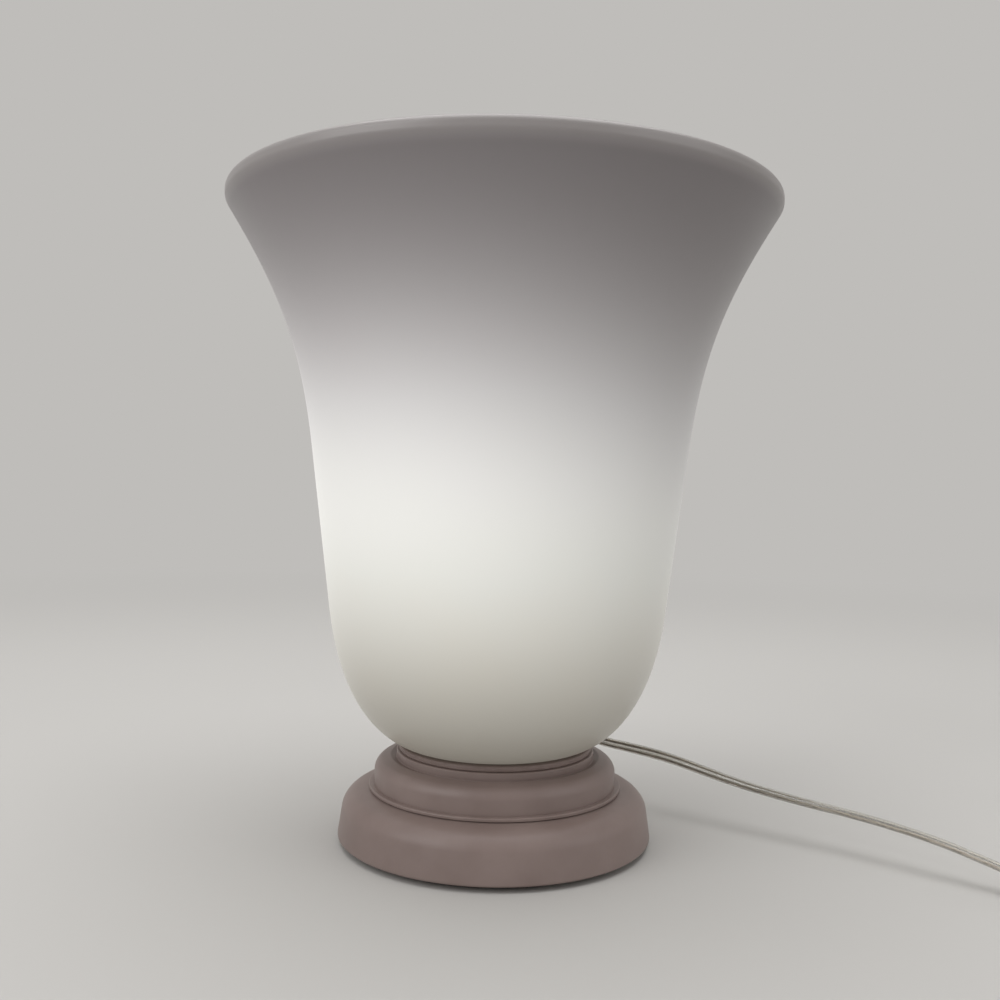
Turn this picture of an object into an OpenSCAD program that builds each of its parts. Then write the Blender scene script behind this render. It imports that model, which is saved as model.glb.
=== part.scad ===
// Tulip table lamp: opal glass shade clamped on a turned two-tier base,
// with a side-entry lamp holder, a flat clear lead, an in-line switch and a plug.
// Millimetres, +Z up, origin under the middle of the felt pad, the lead leaves towards +Y.

/* [Felt pad] */
// Diameter of the felt under the base
pad_d = 132; // [110:1:140]
// Thickness of the felt
pad_t = 2.5; // [1.5:0.5:4]

/* [Plinth] */
// Diameter at the bottom edge
plinth_d = 144; // [138:1:170]
// Height from the felt to the seat of the upper tier
plinth_h = 21.5; // [20:0.5:30]
// How far the side leans in between bottom edge and shoulder
plinth_lean = 2.8; // [0:0.2:5]
// Fall of the top face from the seat to the shoulder
plinth_fall = 2.1; // [0.5:0.1:4]
// Radius of the shoulder
plinth_shoulder_r = 9; // [3:0.5:10]
// Wood left above the pocket
plinth_web = 8; // [5:0.5:9]

/* [Bottom plate] */
// Diameter of the plate that closes the plinth
plate_d = 124; // [112:1:130]
// Thickness of the plate
plate_t = 2; // [1:0.5:3]
// Width of the ledge between the plate's edge and the ballast pocket
ledge_w = 9; // [8:0.5:12]
// Number of plate screws
screw_count = 3; // [3:1:6]
// Shank diameter of a plate screw
screw_d = 3; // [2:0.5:3.5]
// Head diameter of a plate screw
screw_head_d = 6; // [5:0.5:7]
// Length of a plate screw
screw_l = 12; // [8:1:14]

/* [Ballast and clamp] */
// Gap between the ballast disc and the wall of its pocket
ballast_gap = 3; // [1:0.5:15]
// Thickness of the ballast disc
ballast_t = 6; // [3:0.5:6]
// Diameter of the threaded tube
tube_d = 10; // [8:0.5:10]
// Bore of the threaded tube
tube_bore_d = 7; // [4:0.5:7]
// Height that the tube stands into the holder cap
tube_reach = 9; // [6:0.5:11]
// Diameter of the washer under the nut
washer_d = 24; // [18:1:30]
// Thickness of the washer
washer_t = 1.5; // [1:0.5:2]
// Width across the flats of the nut
nut_af = 14; // [13:0.5:17]
// Height of the nut
nut_h = 3.5; // [2.5:0.5:3.5]

/* [Upper tier] */
// Diameter of the drum
tier_d = 111; // [104:1:118]
// Height from the plinth to the top of the neck
tier_h = 17.2; // [16:0.2:24]
// Diameter of the bead round the foot
foot_d = 116; // [112:1:122]
// Height of the foot bead
foot_h = 1.9; // [1:0.1:3]
// Height of the drum's side, up to its shoulder
tier_side_h = 12.2; // [9:0.2:13]
// Radius of the drum's shoulder
tier_shoulder_r = 5.5; // [2:0.5:6]
// Diameter of the neck that carries the gasket
neck_d = 91; // [84:1:98]
// Height of the neck above the crest of the shoulder
neck_h = 2.9; // [1.5:0.1:4]
// Width of the groove between the neck and that crest
groove_w = 2.7; // [1.5:0.1:4]
// Depth of the groove below the crest
groove_h = 0.8; // [0.2:0.1:1.2]
// Bore that takes the lamp holder
well_d = 44; // [42:1:54]
// Floor under the lamp holder
tier_floor_t = 2; // [1.5:0.5:3]

/* [Shade] */
// Outside diameter of the rim
shade_d = 250; // [220:1:280]
// Height of the glass, from its flat foot to the top of the lip
shade_h = 248.2; // [230:0.2:280]
// Thickness of the glass
glass_t = 3.2; // [2.4:0.1:5]
// Diameter of the bead along the rim
lip_d = 6.4; // [4:0.2:7]
// Height of the upright face between the bead's two rounds
lip_face_h = 1.2; // [0.2:0.2:3]
// Hole in the foot for the lamp holder
shade_hole_d = 41; // [40:0.5:46]
// Diameter of the flat foot
shade_foot_d = 79.4; // [70:0.2:84]
// Diameter where the bowl passes into the stem
bowl_d = 154; // [140:1:166]
// Height where the bowl passes into the stem
bowl_h = 61.4; // [56:0.2:72]
// Diameter where the stem passes into the flare
stem_d = 172.8; // [160:0.2:184]
// Height where the stem passes into the flare
stem_h = 138.8; // [128:0.2:150]
// Outward lean of the stem, sideways per unit of height
stem_lean = 0.13; // [0.05:0.01:0.2]
// Outward lean of the glass at the rim, sideways per unit of height
rim_lean = 0.62; // [0.3:0.02:0.8]
// Pull of the bowl's curve along the foot
bowl_foot_pull = 4.8; // [2:0.2:14]
// Pull of the bowl's curve along the stem
bowl_stem_pull = 52.6; // [30:0.2:54]
// Pull of the flare's curve along the stem
flare_stem_pull = 43.4; // [20:0.2:50]
// Pull of the flare's curve along the rim
flare_rim_pull = 36; // [20:0.2:46]

/* [Gasket and shade ring] */
// Outside diameter of the gasket under the glass
gasket_d = 88.8; // [82:0.2:91]
// Hole in the gasket
gasket_hole_d = 58; // [46:1:68]
// Thickness of the gasket
gasket_t = 2.6; // [1.6:0.2:4]
// Diameter of the shade ring's flange
ring_d = 58; // [50:1:66]
// Height of the shade ring
ring_h = 8; // [6:0.5:12]
// Thickness of the shade ring's flange
ring_flange_t = 2.6; // [2:0.2:4]
// Wall of the shade ring's hub
ring_wall = 3; // [2:0.5:4]
// Number of finger notches round the flange
ring_notches = 12; // [8:1:16]

/* [Lamp holder] */
// Diameter of the cap
cap_d = 40; // [38:0.5:40]
// Height of the cap
cap_h = 19; // [17:0.5:20]
// Wall of the cap
cap_wall = 2; // [1.5:0.5:2.5]
// Diameter of the boss that takes the threaded tube
cap_boss_d = 15; // [13:0.5:16]
// Diameter of the threaded skirt
skirt_d = 39; // [38:0.5:39.5]
// Height of the skirt
skirt_h = 34.5; // [33:0.5:42]
// Wall of the skirt
skirt_wall = 2.2; // [1.6:0.2:3]
// Thickness of the lip at the mouth
mouth_t = 2.5; // [1.5:0.5:4]
// Height of the insulating core
core_h = 10; // [8:0.5:12]
// Thickness of the core's flange, held between cap and skirt
core_flange_t = 1.5; // [1:0.5:2.5]
// Wall of the brass screw shell
shell_wall = 0.4; // [0.3:0.1:0.6]
// Height of the centre contact above the core
contact_h = 1.4; // [1:0.2:2.4]
// Width of the contact tongue and of the terminal blocks
terminal_w = 6; // [4:0.5:7]

/* [Bulb] */
// Diameter of the globe
bulb_d = 60; // [50:1:66]
// Overall length
bulb_l = 106; // [98:1:116]
// Diameter of the screw cap
bulb_cap_d = 26; // [25:0.2:26.4]
// Height of the screw cap, without its insulator
bulb_cap_h = 21; // [18:0.5:23]
// Height of the insulator and end contact under the cap
bulb_tip_h = 4; // [3:0.5:5]
// Height of the housing between cap and globe
bulb_neck_h = 39; // [34:1:42]
// Wall of the globe
globe_t = 1.5; // [1:0.5:2.5]

/* [Lead] */
// Width of the flat twin flex
flex_w = 5; // [4:0.2:5.4]
// Thickness of the flat twin flex
flex_t = 2.6; // [2:0.2:3]
// Diameter of one core inside the holder
core_d = 1.8; // [1.4:0.2:2]
// Height of the exit above the underside of the upper tier
exit_h = 7; // [6.5:0.1:7.4]
// Diameter of the bush in the wall
bush_d = 8; // [7.6:0.2:9]
// Diameter of the bush's flange
bush_flange_d = 11; // [10:0.5:12]
// Thickness of the bush's flange
bush_flange_t = 1.8; // [1.2:0.2:3]
// Length of the bush inside the wall
bush_tail_l = 12; // [8:1:16]
// Length of the tapered nose outside the wall
bush_nose_l = 12; // [8:1:14]

/* [Switch] */
// Length of the case
switch_l = 62; // [58:1:64]
// Width of the case at its middle
switch_w = 27; // [25:0.5:30]
// Width of the case at its ends
switch_end_w = 13; // [11:0.5:16]
// Height of the case
switch_h = 18; // [17.5:0.5:20]
// Wall of the case
switch_wall = 2; // [1.5:0.1:2.4]
// Height of the joint line between the two halves
switch_split_h = 8.5; // [8:0.1:9]
// Width of the rocker
rocker_w = 11.6; // [9:0.2:13]
// Radius of the rocker's ends about its pin
rocker_r = 8; // [7:0.2:9]
// Tilt of the rocker each way from level
rocker_tilt = 10; // [6:1:12]
// Diameter of the rocker's pins
rocker_pin_d = 2.9; // [2:0.1:3.2]
// Distance between the case screws
switch_screw_span = 40; // [36:1:44]
// Shank diameter of a case screw
switch_screw_d = 2.6; // [2:0.2:3]
// Distance of the case screws from the middle line
switch_screw_off = 5.5; // [5.2:0.1:5.8]

/* [Coil] */
// Turns in each of the two layers
coil_turns = 3.5; // [1.5:0.5:5.5]
// Diameter of the innermost turn, centre to centre
coil_in_d = 48.8; // [44:0.2:60]
// Step between neighbouring turns
coil_step = 3.6; // [3.2:0.1:5]
// Step between the two layers
coil_layer = 5.8; // [5.6:0.1:8]
// Width of the tie round the coil
tie_w = 8; // [4:0.5:12]
// Thickness of the tie
tie_t = 0.6; // [0.4:0.1:0.6]
// Gap between the tie and the loops beside it
tie_gap = 0.5; // [0.4:0.1:1]

/* [Plug] */
// Width of the plug's face
plug_w = 35; // [33:0.5:37]
// Width of the plug where the neck starts
plug_back_w = 19; // [17:0.5:26]
// Thickness of the plug
plug_t = 13.7; // [13:0.1:15]
// Length of the plug's body
plug_l = 34; // [30:0.5:40]
// Length of the ribbed neck
plug_neck_l = 18; // [14:0.5:22]
// Diameter of the neck at the lead
plug_neck_d = 7.4; // [6.4:0.2:8.4]
// Distance between the pins at the face
pin_span = 18.6; // [18:0.1:19.2]
// Distance between the pins at their tips
pin_tip_span = 17.5; // [17:0.1:18]
// Diameter of the pins
pin_d = 4; // [3.9:0.1:4.8]
// Length of the pins
pin_l = 19; // [17:0.5:19]
// Length of each pin inside the plug
pin_root_l = 8; // [5:0.5:12]
// Length of the insulating sleeve on each pin
sleeve_l = 10; // [8:0.5:11]
// Step in each pin that the sleeve sits in
sleeve_t = 0.6; // [0.5:0.05:0.7]
// How far the sleeve stays under the bare tip
sleeve_under = 0.2; // [0.1:0.05:0.25]

/* [Fits] */
// Gap between pieces that only lie near each other
clear = 0.3; // [0.2:0.05:0.4]
// Radial gap of threads, pins and screws in their holes
slip = 0.05; // [0.03:0.01:0.1]

/* [Hidden] */
$fn = 96;
cut = 1;

// Pocket, screws and ballast, from the plate's edge inwards
pocket_d = plate_d - 2 * ledge_w;
screw_pcd = plate_d - ledge_w;
ballast_d = pocket_d - 2 * ballast_gap;

// Heights of the stack, from the felt up
plinth_z = pad_t;
pocket_z = plinth_z + plinth_h - plinth_web;
tier_z = plinth_z + plinth_h;
floor_z = tier_z + tier_floor_t;
neck_z = tier_z + tier_h;
glass_z = neck_z + gasket_t;
ring_z = glass_z + glass_t;
exit_z = tier_z + exit_h;
washer_z = pocket_z - ballast_t - washer_t;
nut_z = washer_z - nut_h;
tube_top_z = floor_z + tube_reach;
cap_top_z = floor_z + cap_h;
skirt_z = cap_top_z + core_flange_t;
core_top_z = cap_top_z + core_h;
contact_z = core_top_z + contact_h;

// Bulb, from its end contact up
bulb_z = contact_z + clear;
bulb_cap_z = bulb_z + bulb_tip_h;
bulb_neck_z = bulb_cap_z + bulb_cap_h;
globe_z = bulb_neck_z + bulb_neck_h;
globe_centre_z = bulb_z + bulb_l - bulb_d / 2;
globe_seat_r = sqrt(pow(bulb_d / 2, 2) - pow(globe_centre_z - globe_z, 2));
bulb_throat_step = 1;
bulb_throat_d = bulb_cap_d + 2 * bulb_throat_step;
mouth_d = bulb_cap_d + 2 * shell_wall + 4 * clear;

// Outer line of the glass, from the hole in its foot to the rim
rim_r = (shade_d - lip_d) / 2;
rim_z = glass_z + shade_h - lip_d / 2;
lip_face_z = rim_z - lip_face_h;
rim_out = [rim_r, lip_face_z] + lip_d / 2 * unit([1, -rim_lean]);
bowl_line = bezier(
    [shade_foot_d / 2, glass_z],
    [shade_foot_d / 2 + bowl_foot_pull, glass_z],
    [bowl_d / 2 - stem_lean * bowl_stem_pull, glass_z + bowl_h - bowl_stem_pull],
    [bowl_d / 2, glass_z + bowl_h], 16);
flare_line = bezier(
    [stem_d / 2, glass_z + stem_h],
    [stem_d / 2 + stem_lean * flare_stem_pull, glass_z + stem_h + flare_stem_pull],
    rim_out - flare_rim_pull * [rim_lean, 1],
    rim_out, 14);
glass_line = concat([[shade_hole_d / 2, glass_z]], bowl_line, flare_line);

// Bush in the wall of the upper tier
bush_seat_y = tier_d / 2 - bush_flange_t;
bush_bore_d = flex_w + 2 * clear;

// Lead from the holder to the switch: plan, share of the fall, and turn of the flat flex
lead_start_y = 15;
run_plan = [
    [0, lead_start_y, 0, 90], [0, 28, 0, 90], [0, 42, 0, 90], [0, 56, 0, 90], [0, 70, 0, 90],
    [3, 81, 0, 90], [11, 89, 0, 90], [22, 92, 0.02, 90], [33, 89, 0.045, 90], [42, 81, 0.065, 90],
    [51, 72, 0.09, 90], [60, 63, 0.11, 90], [70, 55.5, 0.135, 84], [80, 48, 0.165, 72],
    [90, 40, 0.215, 56], [102, 30.5, 0.315, 40], [116, 20, 0.435, 26], [130, 9, 0.515, 18],
    [145, -3, 0.57, 13], [160, -15, 0.605, 10], [175, -29, 0.65, 7], [190, -43, 0.74, 4],
    [204, -56, 0.885, 2], [212, -64, 0.97, 0], [224, -76, 1, 0]
];
run_route = [for (p = run_plan) [p[0], p[1], exit_z + (switch_split_h - exit_z) * p[2], p[3]]];

// In-line switch: middle of its entry end, its heading, pivot, screws and cord channels
switch_at = [218, -70, 0];
switch_heading = -45;
switch_pin_depth = 3.5;
switch_pin_z = switch_h - switch_pin_depth;
switch_rest = rocker_tilt;
switch_post_d = switch_screw_d + 2.6;
switch_head_d = switch_screw_d + 2;
switch_head_h = 1.8;
switch_head_lift = 0.1;
switch_skin = 3;
channel_w = flex_w + 2 * clear;
channel_h = flex_t + 2 * clear;
channel_l = 14;

// Coil past the switch, and the free stretches on both sides of it
coil_at = [303, -73];
coil_lift = 0.1;
coil_low_z = tie_t + flex_w / 2 + clear + coil_lift;
coil_out_d = coil_in_d + 2 * coil_turns * coil_step;
coil_leave = 60;
coil_rings = 24;
tie_angle = 200;
link_route = [
    [256, -108, switch_split_h, 0], [262, -114, switch_split_h, 0], [271, -121, 8, 12], [282, -126.5, 7, 28],
    [294, -128.5, 6, 44], [306, -127, 5, 58], [318, -121.5, 4, 70], [328, -113, 3.8, 80],
    [336, -102, 3.7, 86], [coil_at.x + coil_out_d / 2, -91, coil_low_z, 90],
    [coil_at.x + coil_out_d / 2, coil_at.y - flex_w, coil_low_z, 90]
];
plug_at = [302, 8, plug_t / 2];
tail_end = [
    [307, -30.5, 9, 76], [303.5, -24, 8.5, 60], [302, -16, 8, 40],
    [302, -8, 7.4, 20], [302, 0, plug_t / 2, 6], [302, 8, plug_t / 2, 0]
];

// Sections of the flex: eight sides on a run, six on a loop
run_section = [
    [flex_w / 2, flex_t / 5], [flex_w / 3, flex_t / 2], [-flex_w / 3, flex_t / 2],
    [-flex_w / 2, flex_t / 5], [-flex_w / 2, -flex_t / 5], [-flex_w / 3, -flex_t / 2],
    [flex_w / 3, -flex_t / 2], [flex_w / 2, -flex_t / 5]
];
loop_section = [
    [flex_w / 2, 0], [flex_w / 4, flex_t / 2], [-flex_w / 4, flex_t / 2],
    [-flex_w / 2, 0], [-flex_w / 4, -flex_t / 2], [flex_w / 4, -flex_t / 2]
];

function unit(v) = v / norm(v);
function spot(p) = [p[0], p[1], p[2]];
function bezier(a, b, c, d, n) =
    [for (i = [0 : n])
        let (t = i / n, s = 1 - t)
        s * s * s * a + 3 * s * s * t * b + 3 * s * t * t * c + t * t * t * d];

// Arc of radius r that rounds the corner at b, between a and c
function corner(a, b, c, r, n) =
    let (
        u = unit(a - b),
        w = unit(c - b),
        half = acos(u * w) / 2,
        centre = b + unit(u + w) * r / sin(half),
        first = b + u * r / tan(half) - centre,
        last = b + w * r / tan(half) - centre,
        start = atan2(first.y, first.x),
        swing = atan2(first.x * last.y - first.y * last.x, first * last)
    )
    [for (i = [0 : n]) centre + r * [cos(start + swing * i / n), sin(start + swing * i / n)]];

// Outline whose points are [x, y, radius of that corner]
function rounded(p, n = 7) =
    [for (i = [0 : len(p) - 1])
        let (a = p[(i + len(p) - 1) % len(p)], b = p[i], c = p[(i + 1) % len(p)])
        each b[2] > 0
            ? corner([a[0], a[1]], [b[0], b[1]], [c[0], c[1]], b[2], n)
            : [[b[0], b[1]]]];

// Line shifted to its left by t
function beside(p, t) =
    [for (i = [0 : len(p) - 1])
        let (d = unit(p[min(i + 1, len(p) - 1)] - p[max(i - 1, 0)]))
        p[i] + t * [-d.y, d.x]];
function backwards(p) = [for (i = [len(p) - 1 : -1 : 0]) p[i]];

// Spiral in along the lower layer, climb where it reverses, spiral out along the upper one
coil_in_angle = 360 * coil_turns;
coil_all_angle = 2 * coil_in_angle + coil_leave;
function coil_climb(a) =
    let (t = min(1, max(0, (a - coil_in_angle) / 180 + 0.5))) t * t * (3 - 2 * t);
function coil_r(a) = coil_in_d / 2 + coil_step * abs(a - coil_in_angle) / 360;
function coil_point(a) =
    let (r = coil_r(a))
    [coil_at.x + r * cos(a), coil_at.y + r * sin(a),
        coil_low_z + coil_layer * coil_climb(a), 90];
coil_count = ceil(coil_all_angle / 360 * coil_rings);
coil_loops = [for (i = [0 : coil_count]) coil_point(coil_all_angle * i / coil_count)];
coil_last = coil_loops[coil_count];
coil_way = unit(spot(coil_last) - spot(coil_loops[coil_count - 1]));
coil_end = spot(coil_last) + flex_w * coil_way;
coil_route = concat(
    [[coil_loops[0].x, coil_at.y - flex_w, coil_low_z, 90]],
    coil_loops,
    [[coil_end.x, coil_end.y, coil_end.z, 90]]);
tail_start = coil_end + flex_w * coil_way;
tail_route = concat(
    [[coil_end.x, coil_end.y, coil_end.z, 90], [tail_start.x, tail_start.y, tail_start.z, 88]],
    tail_end);

function heading(p, i) =
    unit(spot(p[min(i + 1, len(p) - 1)]) - spot(p[max(i - 1, 0)]));
function ring(c, t, section) =
    let (side = unit(cross(t, [0, 0, 1])), up = cross(side, t), a = c[3])
    [for (q = section)
        spot(c) + side * (q.x * cos(a) - q.y * sin(a)) + up * (q.x * sin(a) + q.y * cos(a))];

// Least gap between loops of the coil, from the corners of rings half a turn or more apart
coil_corners = [for (i = [0 : len(coil_route) - 1])
    ring(coil_route[i], heading(coil_route, i), loop_section)];
near_enough = 2 * flex_w;
coil_gaps = [
    for (i = [0 : len(coil_route) - 1])
        for (j = [i + coil_rings / 2 : 1 : len(coil_route) - 1])
            if (norm(spot(coil_route[i]) - spot(coil_route[j])) < near_enough)
                for (p = coil_corners[i])
                    for (q = coil_corners[j])
                        norm(p - q)
];
echo(least_coil_gap = min(coil_gaps));

module sweep(route, section) {
    n = len(section);
    last = len(route) - 1;
    polyhedron(
        points = [for (i = [0 : last]) each ring(route[i], heading(route, i), section)],
        faces = concat(
            [for (i = [0 : last - 1], j = [0 : n - 1])
                each [
                    [i * n + j, (i + 1) * n + j, (i + 1) * n + (j + 1) % n],
                    [i * n + j, (i + 1) * n + (j + 1) % n, i * n + (j + 1) % n]
                ]],
            [for (j = [1 : n - 2]) [0, j, j + 1]],
            [for (j = [1 : n - 2]) [last * n, last * n + j + 1, last * n + j]]));
}

module tube(d_out, d_in, h) {
    difference() {
        cylinder(d = d_out, h = h);
        translate([0, 0, -cut]) cylinder(d = d_in, h = h + 2 * cut);
    }
}

module at_screws() {
    for (i = [0 : screw_count - 1])
        rotate([0, 0, 90 + 180 / screw_count + 360 * i / screw_count])
            translate([screw_pcd / 2, 0, plinth_z]) children();
}

module felt_pad() {
    color("#4a4440") cylinder(d = pad_d, h = pad_t);
}

module plinth() {
    edge_r = 1;
    shoulder_z = tier_z - plinth_fall;
    color("#8a7974") difference() {
        rotate_extrude() polygon(rounded([
            [0, plinth_z, 0],
            [plinth_d / 2, plinth_z, edge_r],
            [plinth_d / 2 - plinth_lean, shoulder_z, plinth_shoulder_r],
            [foot_d / 2, tier_z, 0],
            [0, tier_z, 0]
        ]));
        translate([0, 0, plinth_z - cut]) cylinder(d = plate_d + 2 * clear, h = plate_t + cut);
        translate([0, 0, plinth_z]) cylinder(d = pocket_d, h = plinth_h - plinth_web);
        translate([0, 0, plinth_z]) cylinder(d = tube_d + 2 * clear, h = plinth_h + cut);
        at_screws() cylinder(d = screw_d + 2 * slip, h = screw_l + clear);
    }
}

module plate_screw(gap) {
    head_h = (screw_head_d - screw_d) / 2;
    cylinder(d = screw_d + 2 * gap, h = screw_l);
    cylinder(d1 = screw_head_d + 2 * gap, d2 = screw_d + 2 * gap, h = head_h);
}

module bottom_plate() {
    color("#9a8468") difference() {
        translate([0, 0, plinth_z]) cylinder(d = plate_d, h = plate_t);
        at_screws() plate_screw(slip);
    }
}

module plate_screws() {
    color("#c9b37a") at_screws() plate_screw(0);
}

module ballast_disc() {
    color("#77797c") translate([0, 0, pocket_z - ballast_t])
        tube(ballast_d, tube_d + 2 * clear, ballast_t);
}

module tube_washer() {
    color("#b9bcc0") translate([0, 0, washer_z]) tube(washer_d, tube_d + 2 * clear, washer_t);
}

module tube_nut() {
    color("#c8a95a") translate([0, 0, nut_z]) difference() {
        cylinder(d = nut_af / cos(30), h = nut_h, $fn = 6);
        translate([0, 0, -cut]) cylinder(d = tube_d + 2 * slip, h = nut_h + 2 * cut);
    }
}

module threaded_tube() {
    color("#c8a95a") translate([0, 0, nut_z]) tube(tube_d, tube_bore_d, tube_top_z - nut_z);
}

module upper_tier() {
    crest_z = neck_z - neck_h;
    crest_r = 1.2;
    bead_r = 0.6;
    color("#8a7974") difference() {
        rotate_extrude() polygon(rounded([
            [0, tier_z, 0],
            [foot_d / 2, tier_z, 0],
            [foot_d / 2, tier_z + foot_h, bead_r],
            [tier_d / 2, tier_z + foot_h, 0],
            [tier_d / 2, tier_z + tier_side_h, tier_shoulder_r],
            [neck_d / 2 + groove_w, crest_z, crest_r],
            [neck_d / 2, crest_z - groove_h, 0],
            [neck_d / 2, neck_z, bead_r],
            [0, neck_z, 0]
        ]));
        translate([0, 0, floor_z]) cylinder(d = well_d, h = tier_h);
        translate([0, 0, tier_z - cut]) cylinder(d = tube_d + 2 * clear, h = tier_h);
        translate([0, 0, exit_z]) rotate([-90, 0, 0])
            cylinder(d = bush_d + 2 * slip, h = tier_d);
        translate([0, bush_seat_y, exit_z]) rotate([-90, 0, 0])
            cylinder(d = bush_flange_d + 2 * clear, h = tier_d);
    }
}

module cord_bush() {
    nose_wall = 1;
    nose_end_d = bush_bore_d + 2 * nose_wall;
    nose_d = bush_d + nose_wall;
    color("#d8d4cc") translate([0, bush_seat_y, exit_z]) rotate([-90, 0, 0]) difference() {
        union() {
            translate([0, 0, -bush_tail_l]) cylinder(d = bush_d, h = bush_tail_l + cut);
            cylinder(d = bush_flange_d, h = bush_flange_t);
            translate([0, 0, bush_flange_t])
                cylinder(d1 = nose_d, d2 = nose_end_d, h = bush_nose_l);
        }
        translate([0, 0, -bush_tail_l - cut])
            cylinder(d = bush_bore_d, h = bush_tail_l + bush_flange_t + bush_nose_l + 2 * cut);
    }
}

module holder_cap() {
    edge_r = 2;
    boss_h = tube_reach - tier_floor_t + 2 * cut;
    color("#2b2b2d") difference() {
        union() {
            rotate_extrude() polygon(rounded([
                [0, floor_z, 0],
                [cap_d / 2, floor_z, edge_r],
                [cap_d / 2, cap_top_z, 0],
                [cap_d / 2 - cap_wall, cap_top_z, 0],
                [cap_d / 2 - cap_wall, floor_z + cap_wall, edge_r],
                [0, floor_z + cap_wall, 0]
            ]));
            translate([0, 0, floor_z + cap_wall - cut]) cylinder(d = cap_boss_d, h = boss_h + cut);
        }
        translate([0, 0, floor_z - cut]) cylinder(d = tube_d + 2 * slip, h = cap_h);
        translate([0, 0, exit_z]) rotate([-90, 0, 0]) cylinder(d = bush_bore_d, h = cap_d);
    }
}

// Places of the two terminal blocks under the core
terminal_x = cap_d / 4;
terminal_y = 4;
terminal_h = 4.5;

module holder_core() {
    well_h = 1;
    well_in = 1;
    color("#efeae0") difference() {
        translate([0, 0, cap_top_z]) {
            cylinder(d = skirt_d, h = core_flange_t);
            cylinder(d = skirt_d - 2 * skirt_wall - 2 * clear, h = core_h);
        }
        translate([0, 0, core_top_z - well_h]) tube(bulb_cap_d - 2 * well_in, 2 * terminal_w, core_h);
    }
}

module holder_skirt() {
    color("#2b2b2d") difference() {
        translate([0, 0, skirt_z]) cylinder(d = skirt_d, h = skirt_h);
        translate([0, 0, skirt_z - cut])
            cylinder(d = skirt_d - 2 * skirt_wall, h = skirt_h - mouth_t + cut);
        translate([0, 0, skirt_z]) cylinder(d = mouth_d, h = skirt_h + cut);
    }
}

module holder_shell() {
    color("#cfae55") translate([0, 0, core_top_z])
        tube(bulb_cap_d + 2 * clear + 2 * shell_wall, bulb_cap_d + 2 * clear,
            skirt_h + core_flange_t - core_h - mouth_t);
}

module holder_contact() {
    button_d = 5;
    color("#cfae55") translate([0, 0, core_top_z]) {
        translate([-terminal_w / 2, -terminal_w / 2, 0])
            cube([terminal_w, terminal_w, contact_h / 2]);
        cylinder(d = button_d, h = contact_h);
    }
}

module holder_terminals() {
    screw_head_h = 1.6;
    screw_head_w = 4;
    color("#cfae55") for (s = [-1, 1]) translate([s * terminal_x, terminal_y, cap_top_z]) {
        translate([-terminal_w / 2, -terminal_w / 2, -terminal_h])
            cube([terminal_w, terminal_w, terminal_h]);
        translate([0, -terminal_w / 2 - screw_head_h, -terminal_h / 2]) rotate([-90, 0, 0])
            cylinder(d = screw_head_w, h = screw_head_h + cut);
    }
}

// Stripped cores, one above the other where they leave the flex, out to their terminals
module core_tails() {
    core_section = [for (i = [0 : 5]) core_d / 2 * [cos(60 * i), sin(60 * i)]];
    end_z = cap_top_z - terminal_h / 2;
    end_y = terminal_y + terminal_w / 2;
    start_l = 2;
    end_l = 3;
    bow_y = end_y + 5;
    bow_rise = 4;
    color("#8a5a34") for (s = [-1, 1])
        let (start_z = exit_z + s * flex_w / 4)
            sweep([
                [0, lead_start_y, start_z, 0],
                [0, lead_start_y - start_l, start_z, 0],
                [s * terminal_x / 2, bow_y, exit_z + bow_rise, 0],
                [s * terminal_x * 0.9, bow_y - core_d / 4, end_z - end_l, 0],
                [s * terminal_x, end_y + end_l, end_z, 0],
                [s * terminal_x, end_y, end_z, 0]
            ], core_section);
}

module shade_gasket() {
    color("#867570") translate([0, 0, neck_z]) tube(gasket_d, gasket_hole_d, gasket_t);
}

module glass_shade() {
    color("#f4f4f2") rotate_extrude()
        polygon(concat(glass_line, backwards(beside(glass_line, glass_t))));
    color("#f4f4f2") rotate_extrude() {
        translate([rim_r, rim_z]) circle(d = lip_d);
        translate([rim_r, lip_face_z]) circle(d = lip_d);
        translate([rim_r - lip_d / 2, lip_face_z]) square([lip_d, lip_face_h]);
    }
}

module shade_ring() {
    hub_d = skirt_d + 2 * slip + 2 * ring_wall;
    notch_d = 3.2;
    color("#2b2b2d") translate([0, 0, ring_z]) difference() {
        union() {
            cylinder(d = ring_d, h = ring_flange_t);
            cylinder(d = hub_d, h = ring_h);
        }
        translate([0, 0, -cut]) cylinder(d = skirt_d + 2 * slip, h = ring_h + 2 * cut);
        for (i = [0 : ring_notches - 1]) rotate([0, 0, 360 * (i + 0.5) / ring_notches])
            translate([ring_d / 2, 0, -cut]) cylinder(d = notch_d, h = ring_h + 2 * cut);
    }
}

module bulb_globe() {
    color("#ffffff") rotate_extrude() difference() {
        translate([0, globe_centre_z]) circle(d = bulb_d);
        translate([0, globe_centre_z]) circle(d = bulb_d - 2 * globe_t);
        translate([-bulb_d, globe_z - 2 * bulb_d]) square([2 * bulb_d, 2 * bulb_d]);
        translate([-2 * bulb_d, globe_z - bulb_d]) square([2 * bulb_d, 4 * bulb_d]);
    }
}

module bulb_housing() {
    collar_h = 4;
    swell_out = 1;
    seat_in = 5;
    swell = bezier(
        [bulb_throat_d / 2, bulb_neck_z + collar_h],
        [bulb_throat_d / 2 + swell_out, bulb_neck_z + bulb_neck_h / 3],
        [globe_seat_r - seat_in, globe_z - bulb_neck_h / 3],
        [globe_seat_r, globe_z], 10);
    color("#f2f2f0") rotate_extrude()
        polygon(concat([[0, bulb_neck_z], [bulb_throat_d / 2, bulb_neck_z]], swell, [[0, globe_z]]));
}

module bulb_cap() {
    color("#c6c8ca") translate([0, 0, bulb_cap_z]) cylinder(d = bulb_cap_d, h = bulb_cap_h);
}

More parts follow.
